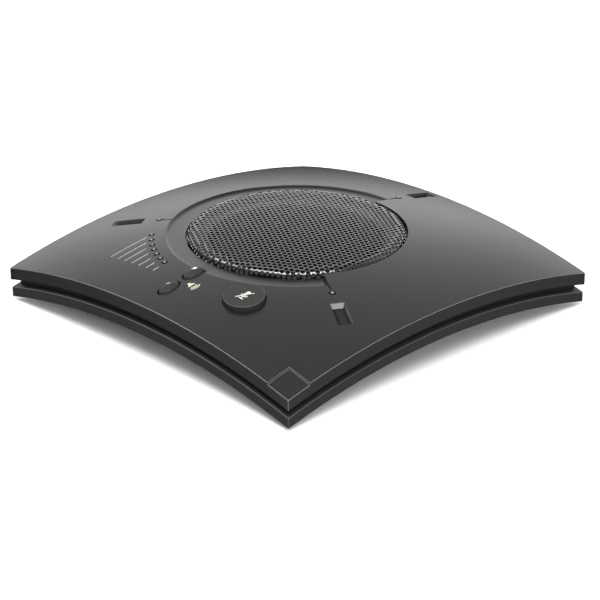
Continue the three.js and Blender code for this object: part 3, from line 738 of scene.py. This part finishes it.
def printed(name, outline, height, place, material):
    """A thin printed shape. height(x, y) is the surface that it lies on, in the frame place."""
    curve = bpy.data.curves.new(name, "CURVE")
    curve.dimensions = "2D"
    curve.fill_mode = "BOTH"
    spline = curve.splines.new("POLY")
    spline.points.add(len(outline) - 1)
    for point, (x, y) in zip(spline.points, outline):
        point.co = (x, y, 0, 1)
    spline.use_cyclic_u = True
    shape = in_scene(name, curve)
    flat = bpy.data.meshes.new_from_object(shape.evaluated_get(bpy.context.evaluated_depsgraph_get()))
    bpy.data.objects.remove(shape)
    bpy.data.curves.remove(curve)
    bm = bmesh.new()
    bm.from_mesh(flat)
    bpy.data.meshes.remove(flat)
    bmesh.ops.remove_doubles(bm, verts=bm.verts, dist=1e-5)
    long = [e for e in bm.edges if e.calc_length() > 2.0]
    if long:
        bmesh.ops.subdivide_edges(bm, edges=long, cuts=6)
        bmesh.ops.triangulate(bm, faces=bm.faces)
    for face in bm.faces:
        if face.normal.z < 0:
            face.normal_flip()
    top = bmesh.ops.extrude_face_region(bm, geom=bm.faces[:])
    raised = {v for v in top["geom"] if isinstance(v, bmesh.types.BMVert)}
    for vertex in bm.verts:
        x, y, _ = vertex.co
        z = height(x, y) + (PRINT if vertex in raised else -PRINT)
        vertex.co = place @ Vector((x, y, z)) * MM
    bmesh.ops.recalc_face_normals(bm, faces=bm.faces)
    mesh = bpy.data.meshes.new(name)
    bm.to_mesh(mesh)
    bm.free()
    mesh.materials.append(material)
    return in_scene(name, mesh)


def strip(points, width):
    """The outline of a stroke of even width along an open line of points."""
    left, right = [], []
    for i, (x, y) in enumerate(points):
        x0, y0 = points[max(i - 1, 0)]
        x1, y1 = points[min(i + 1, len(points) - 1)]
        length = math.hypot(x1 - x0, y1 - y0)
        nx, ny = -(y1 - y0) / length * width / 2, (x1 - x0) / length * width / 2
        left.append((x + nx, y + ny))
        right.append((x - nx, y - ny))
    return left + right[::-1]


def capsule(cx, cy, half_width, half_height, steps=8):
    straight = half_height - half_width
    points = arc((cx, cy + straight), half_width, 0, 180, steps)
    return points + arc((cx, cy - straight), half_width, 180, 360, steps)


def microphone_icon():
    """Outlines of a crossed-out microphone, about 6 by 9.5 mm, upright along Y."""
    body = capsule(0.2, 1.3, 1.3, 2.7)
    cradle = strip(arc((0.2, 0.4), 2.3, 190, 350, 12), 0.42)
    stem = strip([(0.2, -1.9), (0.2, -3.4)], 0.5)
    base = strip([(-1.9, -3.6), (2.3, -3.6)], 0.6)
    slash = strip([(-2.9, -4.6), (2.9, 4.6)], 0.5)
    shade_line = strip([(-2.1, -4.6), (3.7, 4.6)], 0.5)
    slats = [strip([(-1.2, y), (1.6, y)], 0.42) for y in (0.9, 2.1)]
    return [body, cradle, stem, base, slash], [shade_line, *slats]


def loudspeaker_icon():
    """Outlines of a small loudspeaker with sound waves, facing +X."""
    body = [(-4.0, -0.9), (-2.8, -0.9), (-0.9, -2.7), (-0.9, 2.7), (-2.8, 0.9), (-4.0, 0.9)]
    waves = [strip(arc((-1.7, 0), radius, -44, 44, 10), 0.55) for radius in (2.8, 3.9, 5.0)]
    return [body, *waves]


LEVEL_LINE_STARTS = (-64.7, -70.6, -75.3, -79.3, -82.8, -85.0, -87.3)
LEVEL_LINE_END, LEVEL_LINE_FIRST_X, LEVEL_LINE_PITCH, LEVEL_LINE_WIDTH = -91.8, -59.3, 6.2, 0.38


def mute_top(x, y):
    return MUTE_HEIGHT + sag(x, y)


def over_mute_ink(x, y):
    return mute_top(x, y) + PRINT / 2


def make_prints(inks):
    """Every printed mark: the level lines, the two icons and the dots on the volume keys."""
    def marks(name, outlines, height, place, color):
        return [printed(f"{name}_{i}", outline, height, place, inks[color]) for i, outline in enumerate(outlines)]

    lines = []
    for i, start in enumerate(LEVEL_LINE_STARTS):
        x = LEVEL_LINE_FIRST_X + i * LEVEL_LINE_PITCH
        lines.append(strip([(x, start), (x, LEVEL_LINE_END)], LEVEL_LINE_WIDTH))
    parts = marks("line", lines, sag, on_dome(0, 0), "line")
    finished(joined(parts, "level_lines_print"), "housing", slot="clear_plastic")

    parts = marks("speaker", loudspeaker_icon(), sag, on_dome(10.9, -90.4), "icon")
    finished(joined(parts, "volume_icon_print"), "housing", slot="clear_plastic")

    place = on_dome(*MUTE_XY) @ Matrix.Translation((0.3, 0.3, 0))
    outlines, dark_outlines = microphone_icon()
    parts = marks("mute", outlines, mute_top, place, "white")
    parts += marks("mute_dark", dark_outlines, over_mute_ink, place, "dark")
    finished(joined(parts, "mute_icon_print"), "mute_key", slot="clear_plastic")

    for name, xy, centre, radius in (("volume_up", VOLUME_UP_XY, (-1.5, 2.1), 1.6),
                                     ("volume_down", VOLUME_DOWN_XY, (-1.4, 1.1), 1.0)):
        dot = arc(centre, radius, 0, 345, 23)
        made = printed(name + "_dot_print", dot, volume_crown, on_dome(*xy), inks["white"])
        finished(smooth(made), name + "_key", slot="clear_plastic")


def ring_sector(name, inner, outer, top, bottom, start, stop, material):
    """A strip that follows the dome between two radii, depths and angles."""
    profile = [(inner, dome_z(inner, bottom)), (outer, dome_z(outer, bottom)),
               (outer, dome_z(outer, top)), (inner, dome_z(inner, top))]
    rings = []
    for i in range(25):
        angle = math.radians(start + (stop - start) * i / 24)
        rings.append([(r * math.cos(angle), r * math.sin(angle), z) for r, z in profile])
    return capped(loft(name, rings, material=material), len(profile))


def light_pipe(name, stem, radius, place, material, lens):
    """A light pipe whose dark head stands just proud of the surface and carries a pale lens."""
    head = [(radius, -4.1), (radius, 0.12), (radius * 0.9, 0.25), (radius * 0.75, 0.3), (0, 0.3)]
    body = lathe(name, stem + head, place, segments=32, material=material)
    width = radius * 0.66
    dome = [(0, 0.31), (width, 0.31), (width, 0.38), (width * 0.8, 0.47), (width * 0.45, 0.53), (0, 0.55)]
    return [body, lathe(name + "_lens", dome, place, segments=32, material=lens)]


def make_light_guide(material, lens):
    parts = [ring_sector("guide", 82.5, 87.5, 4.5, 6.5, 222, 257, material)]
    for i, place in enumerate(level_frames()):
        parts += light_pipe(f"pipe_{i}", [(0, -5), (0.9, -5), (0.9, -4.2)], 1.15, place, material, lens)
    return smooth(joined(parts, "level_light_guide_looks"))


def make_status_light(index, angle, material, lens):
    name = f"status_light_{index}_looks"
    stem = [(0, -9), (2.2, -9), (2.2, -4.5), (0.95, -4.5), (0.95, -4.2)]
    return smooth(joined(light_pipe(name, stem, 1.3, on_circle(LIGHT_CIRCLE, angle), material, lens), name))


# --- feet, screws, sockets

def make_foot(name, material):
    low, high = cad_box_of(name)
    place = Matrix.Translation(((low.x + high.x) / 2, (low.y + high.y) / 2, 0))
    top = high.z
    profile = [(0, 0), (4.9, 0), (5.05, 0.12), (5.15, 0.3), (5.5, 0.3), (5.6, 0.12), (5.75, 0), (6.4, 0)]
    profile += arc((6.4, 0.6), 0.6, -72, 0, 4) + [(7.0, top), (0, top)]
    return smooth(lathe(name + "_looks", profile, place, segments=64, follow=False, material=material))


def make_screw(name, head, head_height, shank, material):
    """A pan-head screw that stands on its head, with a cross recess."""
    low, high = cad_box_of(name)
    place = Matrix.Translation(((low.x + high.x) / 2, (low.y + high.y) / 2, low.z))
    length = high.z - low.z
    profile = [(0, 0), (head * 0.62, 0)] + arc((head * 0.62, head_height * 0.6), head * 0.38, -80, 0, 5)
    profile += [(head, head_height), (shank, head_height)]
    turns = int((length - head_height - 1) / 0.7)
    for i in range(turns):
        z = head_height + 0.4 + i * 0.7
        profile += [(shank * 0.82, z), (shank, z + 0.35)]
    profile += [(shank * 0.5, length), (0, length)]
    made = lathe(name + "_looks", profile, place, segments=32, follow=False, material=material)
    for turn in (0, 90):
        bar = rounded_rectangle(head * 0.5, 0.3, 0.1, 2)
        cross = prism("cross", [(bar, -1), (bar, head_height * 0.55)],
                      place @ Matrix.Rotation(math.radians(turn + 20), 4, "Z"), follow=False)
        boolean(made, cross)
    return smooth(made)


def bar(name, half_x, half_z, y_from, y_to, x, z, material, radius=0.15):
    """A round-edged bar lying along Y."""
    small = rounded_rectangle(half_x - 0.12, half_z - 0.12, max(radius - 0.1, 0.03), 3)
    full = rounded_rectangle(half_x, half_z, radius, 3)
    length = y_to - y_from
    levels = [(small, 0), (full, 0.12), (full, length - 0.12), (small, length)]
    place = Matrix.Translation((x, y_from, z)) @ Matrix.Rotation(-math.pi / 2, 4, "X")
    return smooth(prism(name, levels, place, follow=False, material=material))


def make_socket_details(materials):
    """What shows inside the three sockets' mouths."""
    def middle(name):
        low, high = cad_box_of(name)
        return (low.x + high.x) / 2, (low.z + high.z) / 2, low.y, high.y

    x, z, back, front = middle("usb_socket")
    parts = [bar("tongue", 2.8, 1.6, back + 4.1, front - 1.5, x, z, materials["black_plastic"], 0.5)]
    for side in (-1, 1):
        for row in (-1, 1):
            parts.append(bar("contact", 0.5, 0.12, back + 4.1, front - 2.5, x + side * 1.25, z + row * 1.7,
                             materials["gold"], 0.05))
    finished(joined(parts, "usb_tongue"), "housing", slot="black_plastic")

    x, z, back, front = middle("power_jack")
    pin = [(0, 0), (0.9, 0), (0.9, 8.2), (0.75, 8.7), (0.4, 9), (0, 9.05)]
    place = Matrix.Translation((x, front - 9.9, z)) @ Matrix.Rotation(-math.pi / 2, 4, "X")
    made = lathe("power_pin", pin, place, segments=32, follow=False, material=materials["zinc_steel"])
    finished(smooth(made), "housing", slot="zinc_steel")

    x, z, back, front = middle("expansion_socket")
    parts = [bar("contact", 0.25, 0.15, back + 4.1, front - 3, x - 3.57 + 1.02 * i, z + 2.9,
                 materials["gold"], 0.08) for i in range(8)]
    finished(joined(parts, "expansion_contacts"), "housing", slot="zinc_steel")


# --- materials

class Graph:
    """Wires up a node tree. Every input may be a plain value or another node's output."""

    def __init__(self, tree):
        self.tree = tree

    def plug(self, socket, value):
        if isinstance(value, bpy.types.NodeSocket):
            self.tree.links.new(value, socket)
        else:
            socket.default_value = value

    def add(self, kind, **inputs):
        node = self.tree.nodes.new(kind)
        for key, value in inputs.items():
            self.plug(node.inputs[key.replace("_", " ")], value)
        return node

    def math(self, operation, first, second=0.5):
        node = self.add("ShaderNodeMath")
        node.operation = operation
        self.plug(node.inputs[0], first)
        self.plug(node.inputs[1], second)
        return node.outputs[0]

    def mix(self, share, first, second):
        node = self.add("ShaderNodeMix")
        node.data_type = "RGBA"
        for index, value in ((0, share), (6, first), (7, second)):
            self.plug(node.inputs[index], value)
        return node.outputs[2]

    def along(self, direction, axis):
        """How far a direction points along an axis."""
        node = self.add("ShaderNodeVectorMath")
        node.operation = "DOT_PRODUCT"
        self.plug(node.inputs[0], direction)
        self.plug(node.inputs[1], axis)
        return node.outputs["Value"]

    def step(self, value, low, high):
        """A smooth step from 0 at low to 1 at high."""
        node = self.add("ShaderNodeMapRange", Value=value, From_Min=low, From_Max=high)
        node.interpolation_type = "SMOOTHSTEP"
        return node.outputs[0]

    def gradient(self, height, stops):
        """A grey ramp over the height of a direction, from -1 straight down to 1 straight up."""
        ramp = self.add("ShaderNodeValToRGB", Fac=height)
        elements = ramp.color_ramp.elements
        while len(elements) < len(stops):
            elements.new(0.5)
        for element, (z, value) in zip(elements, stops):
            element.position = (z + 1) / 2
            element.color = (value, value, value, 1)
        return ramp.outputs["Color"]


class Nodes(Graph):
    """One procedural material."""

    def __init__(self, name):
        self.material = bpy.data.materials.new(name)
        self.material.use_nodes = True
        super().__init__(self.material.node_tree)
        self.bsdf = self.tree.nodes["Principled BSDF"]
        self.coordinates = self.add("ShaderNodeTexCoord").outputs["Object"]

    def noise(self, scale, detail=2.0, roughness=0.5, vector=None):
        node = self.add("ShaderNodeTexNoise", Scale=scale, Detail=detail, Roughness=roughness,
                        Vector=vector or self.coordinates)
        return node.outputs["Fac"]

    def range(self, value, low, high):
        return self.add("ShaderNodeMapRange", Value=value, To_Min=low, To_Max=high).outputs["Result"]

    def scaled(self, x, y, z):
        return self.add("ShaderNodeMapping", Vector=self.coordinates, Scale=(x, y, z)).outputs[0]

    def to(self, socket, value):
        self.plug(self.bsdf.inputs[socket], value)

    def bump(self, height, distance):
        self.to("Normal", self.add("ShaderNodeBump", Height=height, Distance=distance).outputs["Normal"])


def shade(color, factor):
    return tuple(c * factor for c in color) + (1.0,)


def moulded(name, color, roughness, grain=2600.0, depth=4e-6, specular=0.5, ior=1.5):
    """Moulded or painted surface: fine grain, a slow drift of tone, and uneven polish."""
    n = Nodes(name)
    drift = n.range(n.noise(14.0, 4.0), -0.2, 1.2)
    n.to("Base Color", n.mix(drift, shade(color, 0.92), shade(color, 1.08)))
    fine = n.noise(grain, 3.0, 0.6)
    polish = n.range(n.noise(60.0, 5.0, 0.65), -0.04, 0.04)
    n.to("Roughness", n.math("ADD", polish, n.range(fine, roughness - 0.03, roughness + 0.03)))
    n.to("Specular IOR Level", specular)
    n.to("IOR", ior)
    n.bump(fine, depth)
    return n.material


def metal(name, color, roughness, streak=(40.0, 900.0, 900.0)):
    """Plated metal with fine directional streaks."""
    n = Nodes(name)
    streaks = n.noise(1.0, 4.0, 0.6, n.scaled(*streak))
    cloud = n.noise(120.0, 4.0)
    n.to("Base Color", n.mix(cloud, shade(color, 0.85), shade(color, 1.1)))
    n.to("Metallic", 1.0)
    n.to("Roughness", n.range(streaks, roughness - 0.08, roughness + 0.12))
    n.bump(streaks, 5e-6)
    return n.material


def woven(name, thread, gap, pitch):
    """An acoustic mesh: threads crossing at right angles."""
    n = Nodes(name)
    waves = []
    for direction in ("X", "Y"):
        wave = n.add("ShaderNodeTexWave", Scale=0.5 / pitch * 0.62, Vector=n.coordinates)
        wave.bands_direction = direction
        waves.append(wave.outputs["Fac"])
    height = n.math("MAXIMUM", *waves)
    fuzz = n.noise(4000.0, 3.0)
    n.to("Base Color", n.mix(n.math("MULTIPLY", height, fuzz), shade(gap, 1), shade(thread, 1)))
    n.to("Roughness", n.range(fuzz, 0.7, 0.95))
    n.to("Specular IOR Level", 0.15)
    n.bump(height, 8e-5)
    return n.material


def circuit(name):
    """Solder mask over etched tracks, with pale pads."""
    n = Nodes(name)
    bricks = n.add("ShaderNodeTexBrick", Vector=n.coordinates, Scale=420.0)
    bricks.inputs["Mortar Size"].default_value = 0.03
    tracks = bricks.outputs["Fac"]
    pads = n.add("ShaderNodeTexVoronoi", Vector=n.coordinates, Scale=330.0)
    pad = n.math("LESS_THAN", pads.outputs["Distance"], 0.16)
    mask = n.mix(tracks, (0.012, 0.075, 0.032, 1), (0.025, 0.13, 0.055, 1))
    n.to("Base Color", n.mix(pad, mask, (0.45, 0.42, 0.36, 1)))
    n.to("Roughness", n.range(n.noise(900.0), 0.28, 0.45))
    n.bump(n.math("ADD", tracks, pad), 3e-5)
    return n.material


def wound(name, color):
    """Fine enamelled wire wound round Z."""
    n = Nodes(name)
    wave = n.add("ShaderNodeTexWave", Scale=900.0, Vector=n.coordinates)
    wave.bands_direction = "Z"
    n.to("Base Color", n.mix(wave.outputs["Fac"], shade(color, 0.4), shade(color, 1.1)))
    n.to("Metallic", 0.8)
    n.to("Roughness", n.range(n.noise(1500.0), 0.25, 0.45))
    n.bump(wave.outputs["Fac"], 6e-5)
    return n.material


def clear_pipe(name):
    """Clear light pipe, slightly cloudy."""
    n = Nodes(name)
    cloud = n.noise(700.0, 3.0)
    n.to("Base Color", n.mix(cloud, (0.22, 0.23, 0.24, 1), (0.32, 0.33, 0.34, 1)))
    n.to("Roughness", n.range(cloud, 0.05, 0.16))
    n.to("Transmission Weight", 0.4)
    n.to("IOR", 1.49)
    n.bump(cloud, 3e-6)
    return n.material


def ink(name, color):
    """Printed ink with slightly uneven cover."""
    n = Nodes(name)
    cover = n.noise(2500.0, 4.0, 0.7)
    n.to("Base Color", n.mix(cover, shade(color, 0.82), shade(color, 1.08)))
    n.to("Roughness", n.range(cover, 0.5, 0.7))
    n.bump(cover, 3e-6)
    return n.material


def make_materials():
    # Colour, roughness, the grain's scale and depth, specular level and IOR.
    looks = {
        "upper_shell_plastic": ((0.008, 0.008, 0.0083), 0.26, 2600, 1e-6, 0.38),
        # painted highlight for the upper shell's edge faces
        "upper_edge_highlight": ((0.08, 0.08, 0.081), 0.3, 2600, 2e-6),
        "window_wall": ((0.03, 0.03, 0.0305), 0.16, 2600, 5e-7),
        "lower_shell_plastic": ((0.0135, 0.013, 0.0124), 0.5, 2600, 4e-6, 0.3),
        # painted highlight for the lower shell's edge faces
        "lower_edge_highlight": ((0.035, 0.035, 0.034), 0.35, 2600, 2e-6),
        "black_plastic": ((0.006, 0.006, 0.006), 0.6, 2600, 4e-6, 0.3),
        "grille_steel": ((0.012, 0.012, 0.012), 0.24, 1800, 1e-6, 1.0, 1.75),
        # painted shade for the grille's hole walls and steep side
        "grille_painted_shade": ((0.003, 0.003, 0.003), 0.6, 1800, 3e-6, 0.05),
        "key_rubber": ((0.022, 0.022, 0.021), 0.5, 3200, 4e-6, 0.14),
        # painted highlight for the mute key's chamfer
        "key_edge_highlight": ((0.055, 0.055, 0.053), 0.4, 3200, 3e-6),
        "smoked_lens": ((0.01, 0.01, 0.0104), 0.12, 2600, 5e-7),
        "black_rubber": ((0.012, 0.012, 0.012), 0.85, 1500, 2e-5, 0.25),
        # the speaker's surround, basket and cone are darker than their rubber, paint and paper: partly their own
        # black, partly painted shade seen through the grille
        "surround_rubber_and_shade": ((0.004, 0.004, 0.004), 0.8, 1500, 1e-5, 0.1),
        "basket_paint_and_shade": ((0.003, 0.003, 0.003), 0.7, 2600, 4e-6, 0.1),
        "cone_paper_and_shade": ((0.004, 0.004, 0.004), 0.8, 900, 2e-5, 0.1),
        "chip_plastic": ((0.012, 0.012, 0.013), 0.45, 2200, 1e-5),
        "label_paper": ((0.03, 0.032, 0.034), 0.7, 1200, 6e-6),
        "red_wire": ((0.3, 0.02, 0.015), 0.45, 1500, 4e-6),
    }
    made = {name: moulded(name, *look) for name, look in looks.items()}
    made["clear_plastic"] = clear_pipe("clear_plastic")
    # the foam under the grille is near black: partly its own colour, partly painted shade in the grille's holes
    made["acoustic_foam"] = woven("acoustic_foam", (0.008, 0.007, 0.006), (0.001, 0.001, 0.001), 0.0007)
    made["window_mesh"] = woven("window_mesh", (0.036, 0.035, 0.033), (0.003, 0.003, 0.003), 0.0011)
    made["zinc_steel"] = metal("zinc_steel", (0.55, 0.56, 0.58), 0.3)
    made["gold"] = metal("gold", (0.8, 0.58, 0.22), 0.22)
    made["circuit_board"] = circuit("circuit_board")
    made["copper"] = wound("copper", (0.55, 0.23, 0.1))
    return made


# --- assembling the looks

materials = make_materials()
slots = {part["node"]: part["material_slot"] for part in frame["record"]["subparts"]}
# The speaker parts take the darkened looks: their own black plus painted shade seen through the grille's holes.
own_look = {"speaker_basket": "basket_paint_and_shade", "speaker_surround": "surround_rubber_and_shade", "speaker_cone": "cone_paper_and_shade", "speaker_dust_cap": "cone_paper_and_shade"}
own_look.update({f"mic_window_{index}": "window_mesh" for index in (1, 2, 3)})
for name, node in frame["nodes"].items():
    node.data.materials.clear()
    node.data.materials.append(materials[own_look.get(name, slots[name])])

upper = make_upper_shell(materials["upper_shell_plastic"], materials["window_wall"], materials["upper_edge_highlight"])
finished(upper, "housing", "upper_shell", slot="upper_shell_plastic")
lower = make_lower_shell(materials["lower_shell_plastic"], materials["lower_edge_highlight"])
finished(lower, "housing", "lower_shell", slot="lower_shell_plastic")
grille = make_grille(materials["grille_steel"], materials["grille_painted_shade"])
finished(grille, "housing", "speaker_grille", slot="grille_steel")
finished(make_mute_key(materials["key_rubber"], materials["key_edge_highlight"]), "mute_key", "mute_button", slot="key_rubber")
for key, xy in (("volume_up", VOLUME_UP_XY), ("volume_down", VOLUME_DOWN_XY)):
    made = make_volume_key(key + "_button", xy, materials["key_rubber"])
    finished(made, key + "_key", key + "_button", slot="key_rubber")
lamp = materials["smoked_lens"], materials["clear_plastic"]
finished(make_light_guide(*lamp), "housing", "level_light_guide", slot="clear_plastic")
for index, angle in enumerate(MIC_ANGLES, 1):
    made = make_status_light(index, angle, *lamp)
    finished(made, "housing", f"status_light_{index}", slot="clear_plastic")
for index in range(1, 5):
    finished(make_foot(f"foot_{index}", materials["black_rubber"]), "housing", f"foot_{index}",
             slot="black_rubber")
    made = make_screw(f"case_screw_{index}", 2.8, 1.8, 1.0, materials["zinc_steel"])
    finished(made, "housing", f"case_screw_{index}", slot="zinc_steel")
make_socket_details(materials)
make_prints({
    "line": ink("line_ink", (0.46, 0.46, 0.44)),
    "icon": ink("icon_ink", (0.46, 0.46, 0.33)),
    "white": ink("white_ink", (0.62, 0.62, 0.59)),
    "dark": ink("dark_ink", (0.02, 0.02, 0.02)),
})


# --- floor, light and camera

def make_floor():
    n = Nodes("pale_floor")
    n.to("Base Color", n.mix(n.noise(3.0, 3.0), (0.86, 0.86, 0.86, 1), (0.9, 0.9, 0.9, 1)))
    n.to("Roughness", 0.9)
    n.to("Specular IOR Level", 0.1)
    size = 12000
    floor = new_object("floor", [(-size, -size, 0), (size, -size, 0), (size, size, 0), (-size, size, 0)],
                       [(0, 1, 2, 3)], n.material)
    floor.visible_glossy = False


VIEW_AZIMUTH, VIEW_ELEVATION, VIEW_DISTANCE = 46.58, 23.39, 1.4786


def toward(azimuth, elevation=0, distance=1):
    """A point seen from the object: azimuth 0 is in front (-Y), 90 is to the right (+X)."""
    a, e = math.radians(azimuth), math.radians(elevation)
    return Vector((math.sin(a) * math.cos(e), -math.cos(a) * math.cos(e), math.sin(e))) * distance


def make_world():
    """A studio: a bright backdrop low behind the object, dim in front and overhead."""
    world = bpy.data.worlds.new("studio")
    bpy.context.scene.world = world
    world.use_nodes = True
    graph = Graph(world.node_tree)
    direction = graph.add("ShaderNodeTexCoord").outputs["Generated"]
    upward = graph.along(direction, (0, 0, 1))
    height = graph.add("ShaderNodeMapRange", Value=upward, From_Min=-1.0).outputs[0]
    low = [(-1, 0.0), (-0.2, 0.0), (0, 0.2), (0.1, 0.95)]
    front = graph.gradient(height, [(-1, 0.42), (-0.1, 0.42), (0.05, 0.05), (1, 0.05)])
    back = graph.gradient(height, low + [(0.2, 1.32), (0.31, 1.12), (0.5, 0.76), (0.72, 0.52), (0.88, 0.43),
                                         (1, 0.36)])
    flank = graph.gradient(height, low + [(0.2, 1.2), (0.31, 0.78), (0.5, 0.56), (1, 0.35)])
    sideways = graph.math("ABSOLUTE", graph.along(direction, toward(VIEW_AZIMUTH + 90)))
    backdrop = graph.mix(graph.step(sideways, 0.17, 0.28), back, flank)
    behind = graph.step(graph.along(direction, -toward(VIEW_AZIMUTH)), -0.05, 0.3)
    background = world.node_tree.nodes["Background"]
    graph.plug(background.inputs["Color"], graph.mix(behind, front, backdrop))
    background.inputs["Strength"].default_value = 1.5


def softbox(name, turn, elevation, distance, size, radiance):
    """An evenly lit rectangle that faces the object. turn counts from the camera's azimuth, and its first
    size runs level."""
    light = bpy.data.lights.new(name, "AREA")
    light.shape = "RECTANGLE"
    light.size, light.size_y = size
    light.energy = radiance * math.pi * size[0] * size[1]
    made = in_scene(name, light)
    place = toward(VIEW_AZIMUTH + turn, elevation, distance)
    outward = place.normalized()
    level = Vector((-outward.y, outward.x, 0)).normalized()
    facing = Matrix((level, outward.cross(level), outward)).transposed().to_4x4()
    made.matrix_world = Matrix.Translation(place) @ facing
    made.visible_camera = False
    return made


def make_lights():
    softbox("key", 14, 58, 1.6, (1.2, 0.8), 8)
    softbox("top_left", -52, 60, 1.6, (1.0, 0.5), 6)
    softbox("left", -103, 45, 1.8, (0.7, 0.6), 6)
    softbox("low_right", 26, 17, 2.0, (0.5, 0.4), 18)
    for name, turn, radiance in (("left_wash", -75, 1.35), ("right_wash", 75, 1.5), ("back_wash", 180, 1.8),
                                 ("front_wash", 0, 1.05)):
        wash = softbox(name, turn, 26, 2.4, (2.2, 2.0), radiance)
        wash.visible_glossy = False


def make_camera():
    data = bpy.data.cameras.new("camera")
    data.sensor_width = 36
    data.lens = 150.86
    data.shift_x, data.shift_y = 0.0054, -0.0629
    camera = in_scene("camera", data)
    target = Vector((0, 0, 0.0255))
    eye = target + toward(VIEW_AZIMUTH, VIEW_ELEVATION, VIEW_DISTANCE)
    look = (target - eye).to_track_quat("-Z", "Y").to_matrix().to_4x4()
    camera.matrix_world = Matrix.Translation(eye) @ look @ Matrix.Rotation(math.radians(-0.128), 4, "Z")
    bpy.context.scene.camera = camera


make_floor()
make_world()
make_lights()
make_camera()
bpy.context.scene.view_settings.view_transform = "Standard"
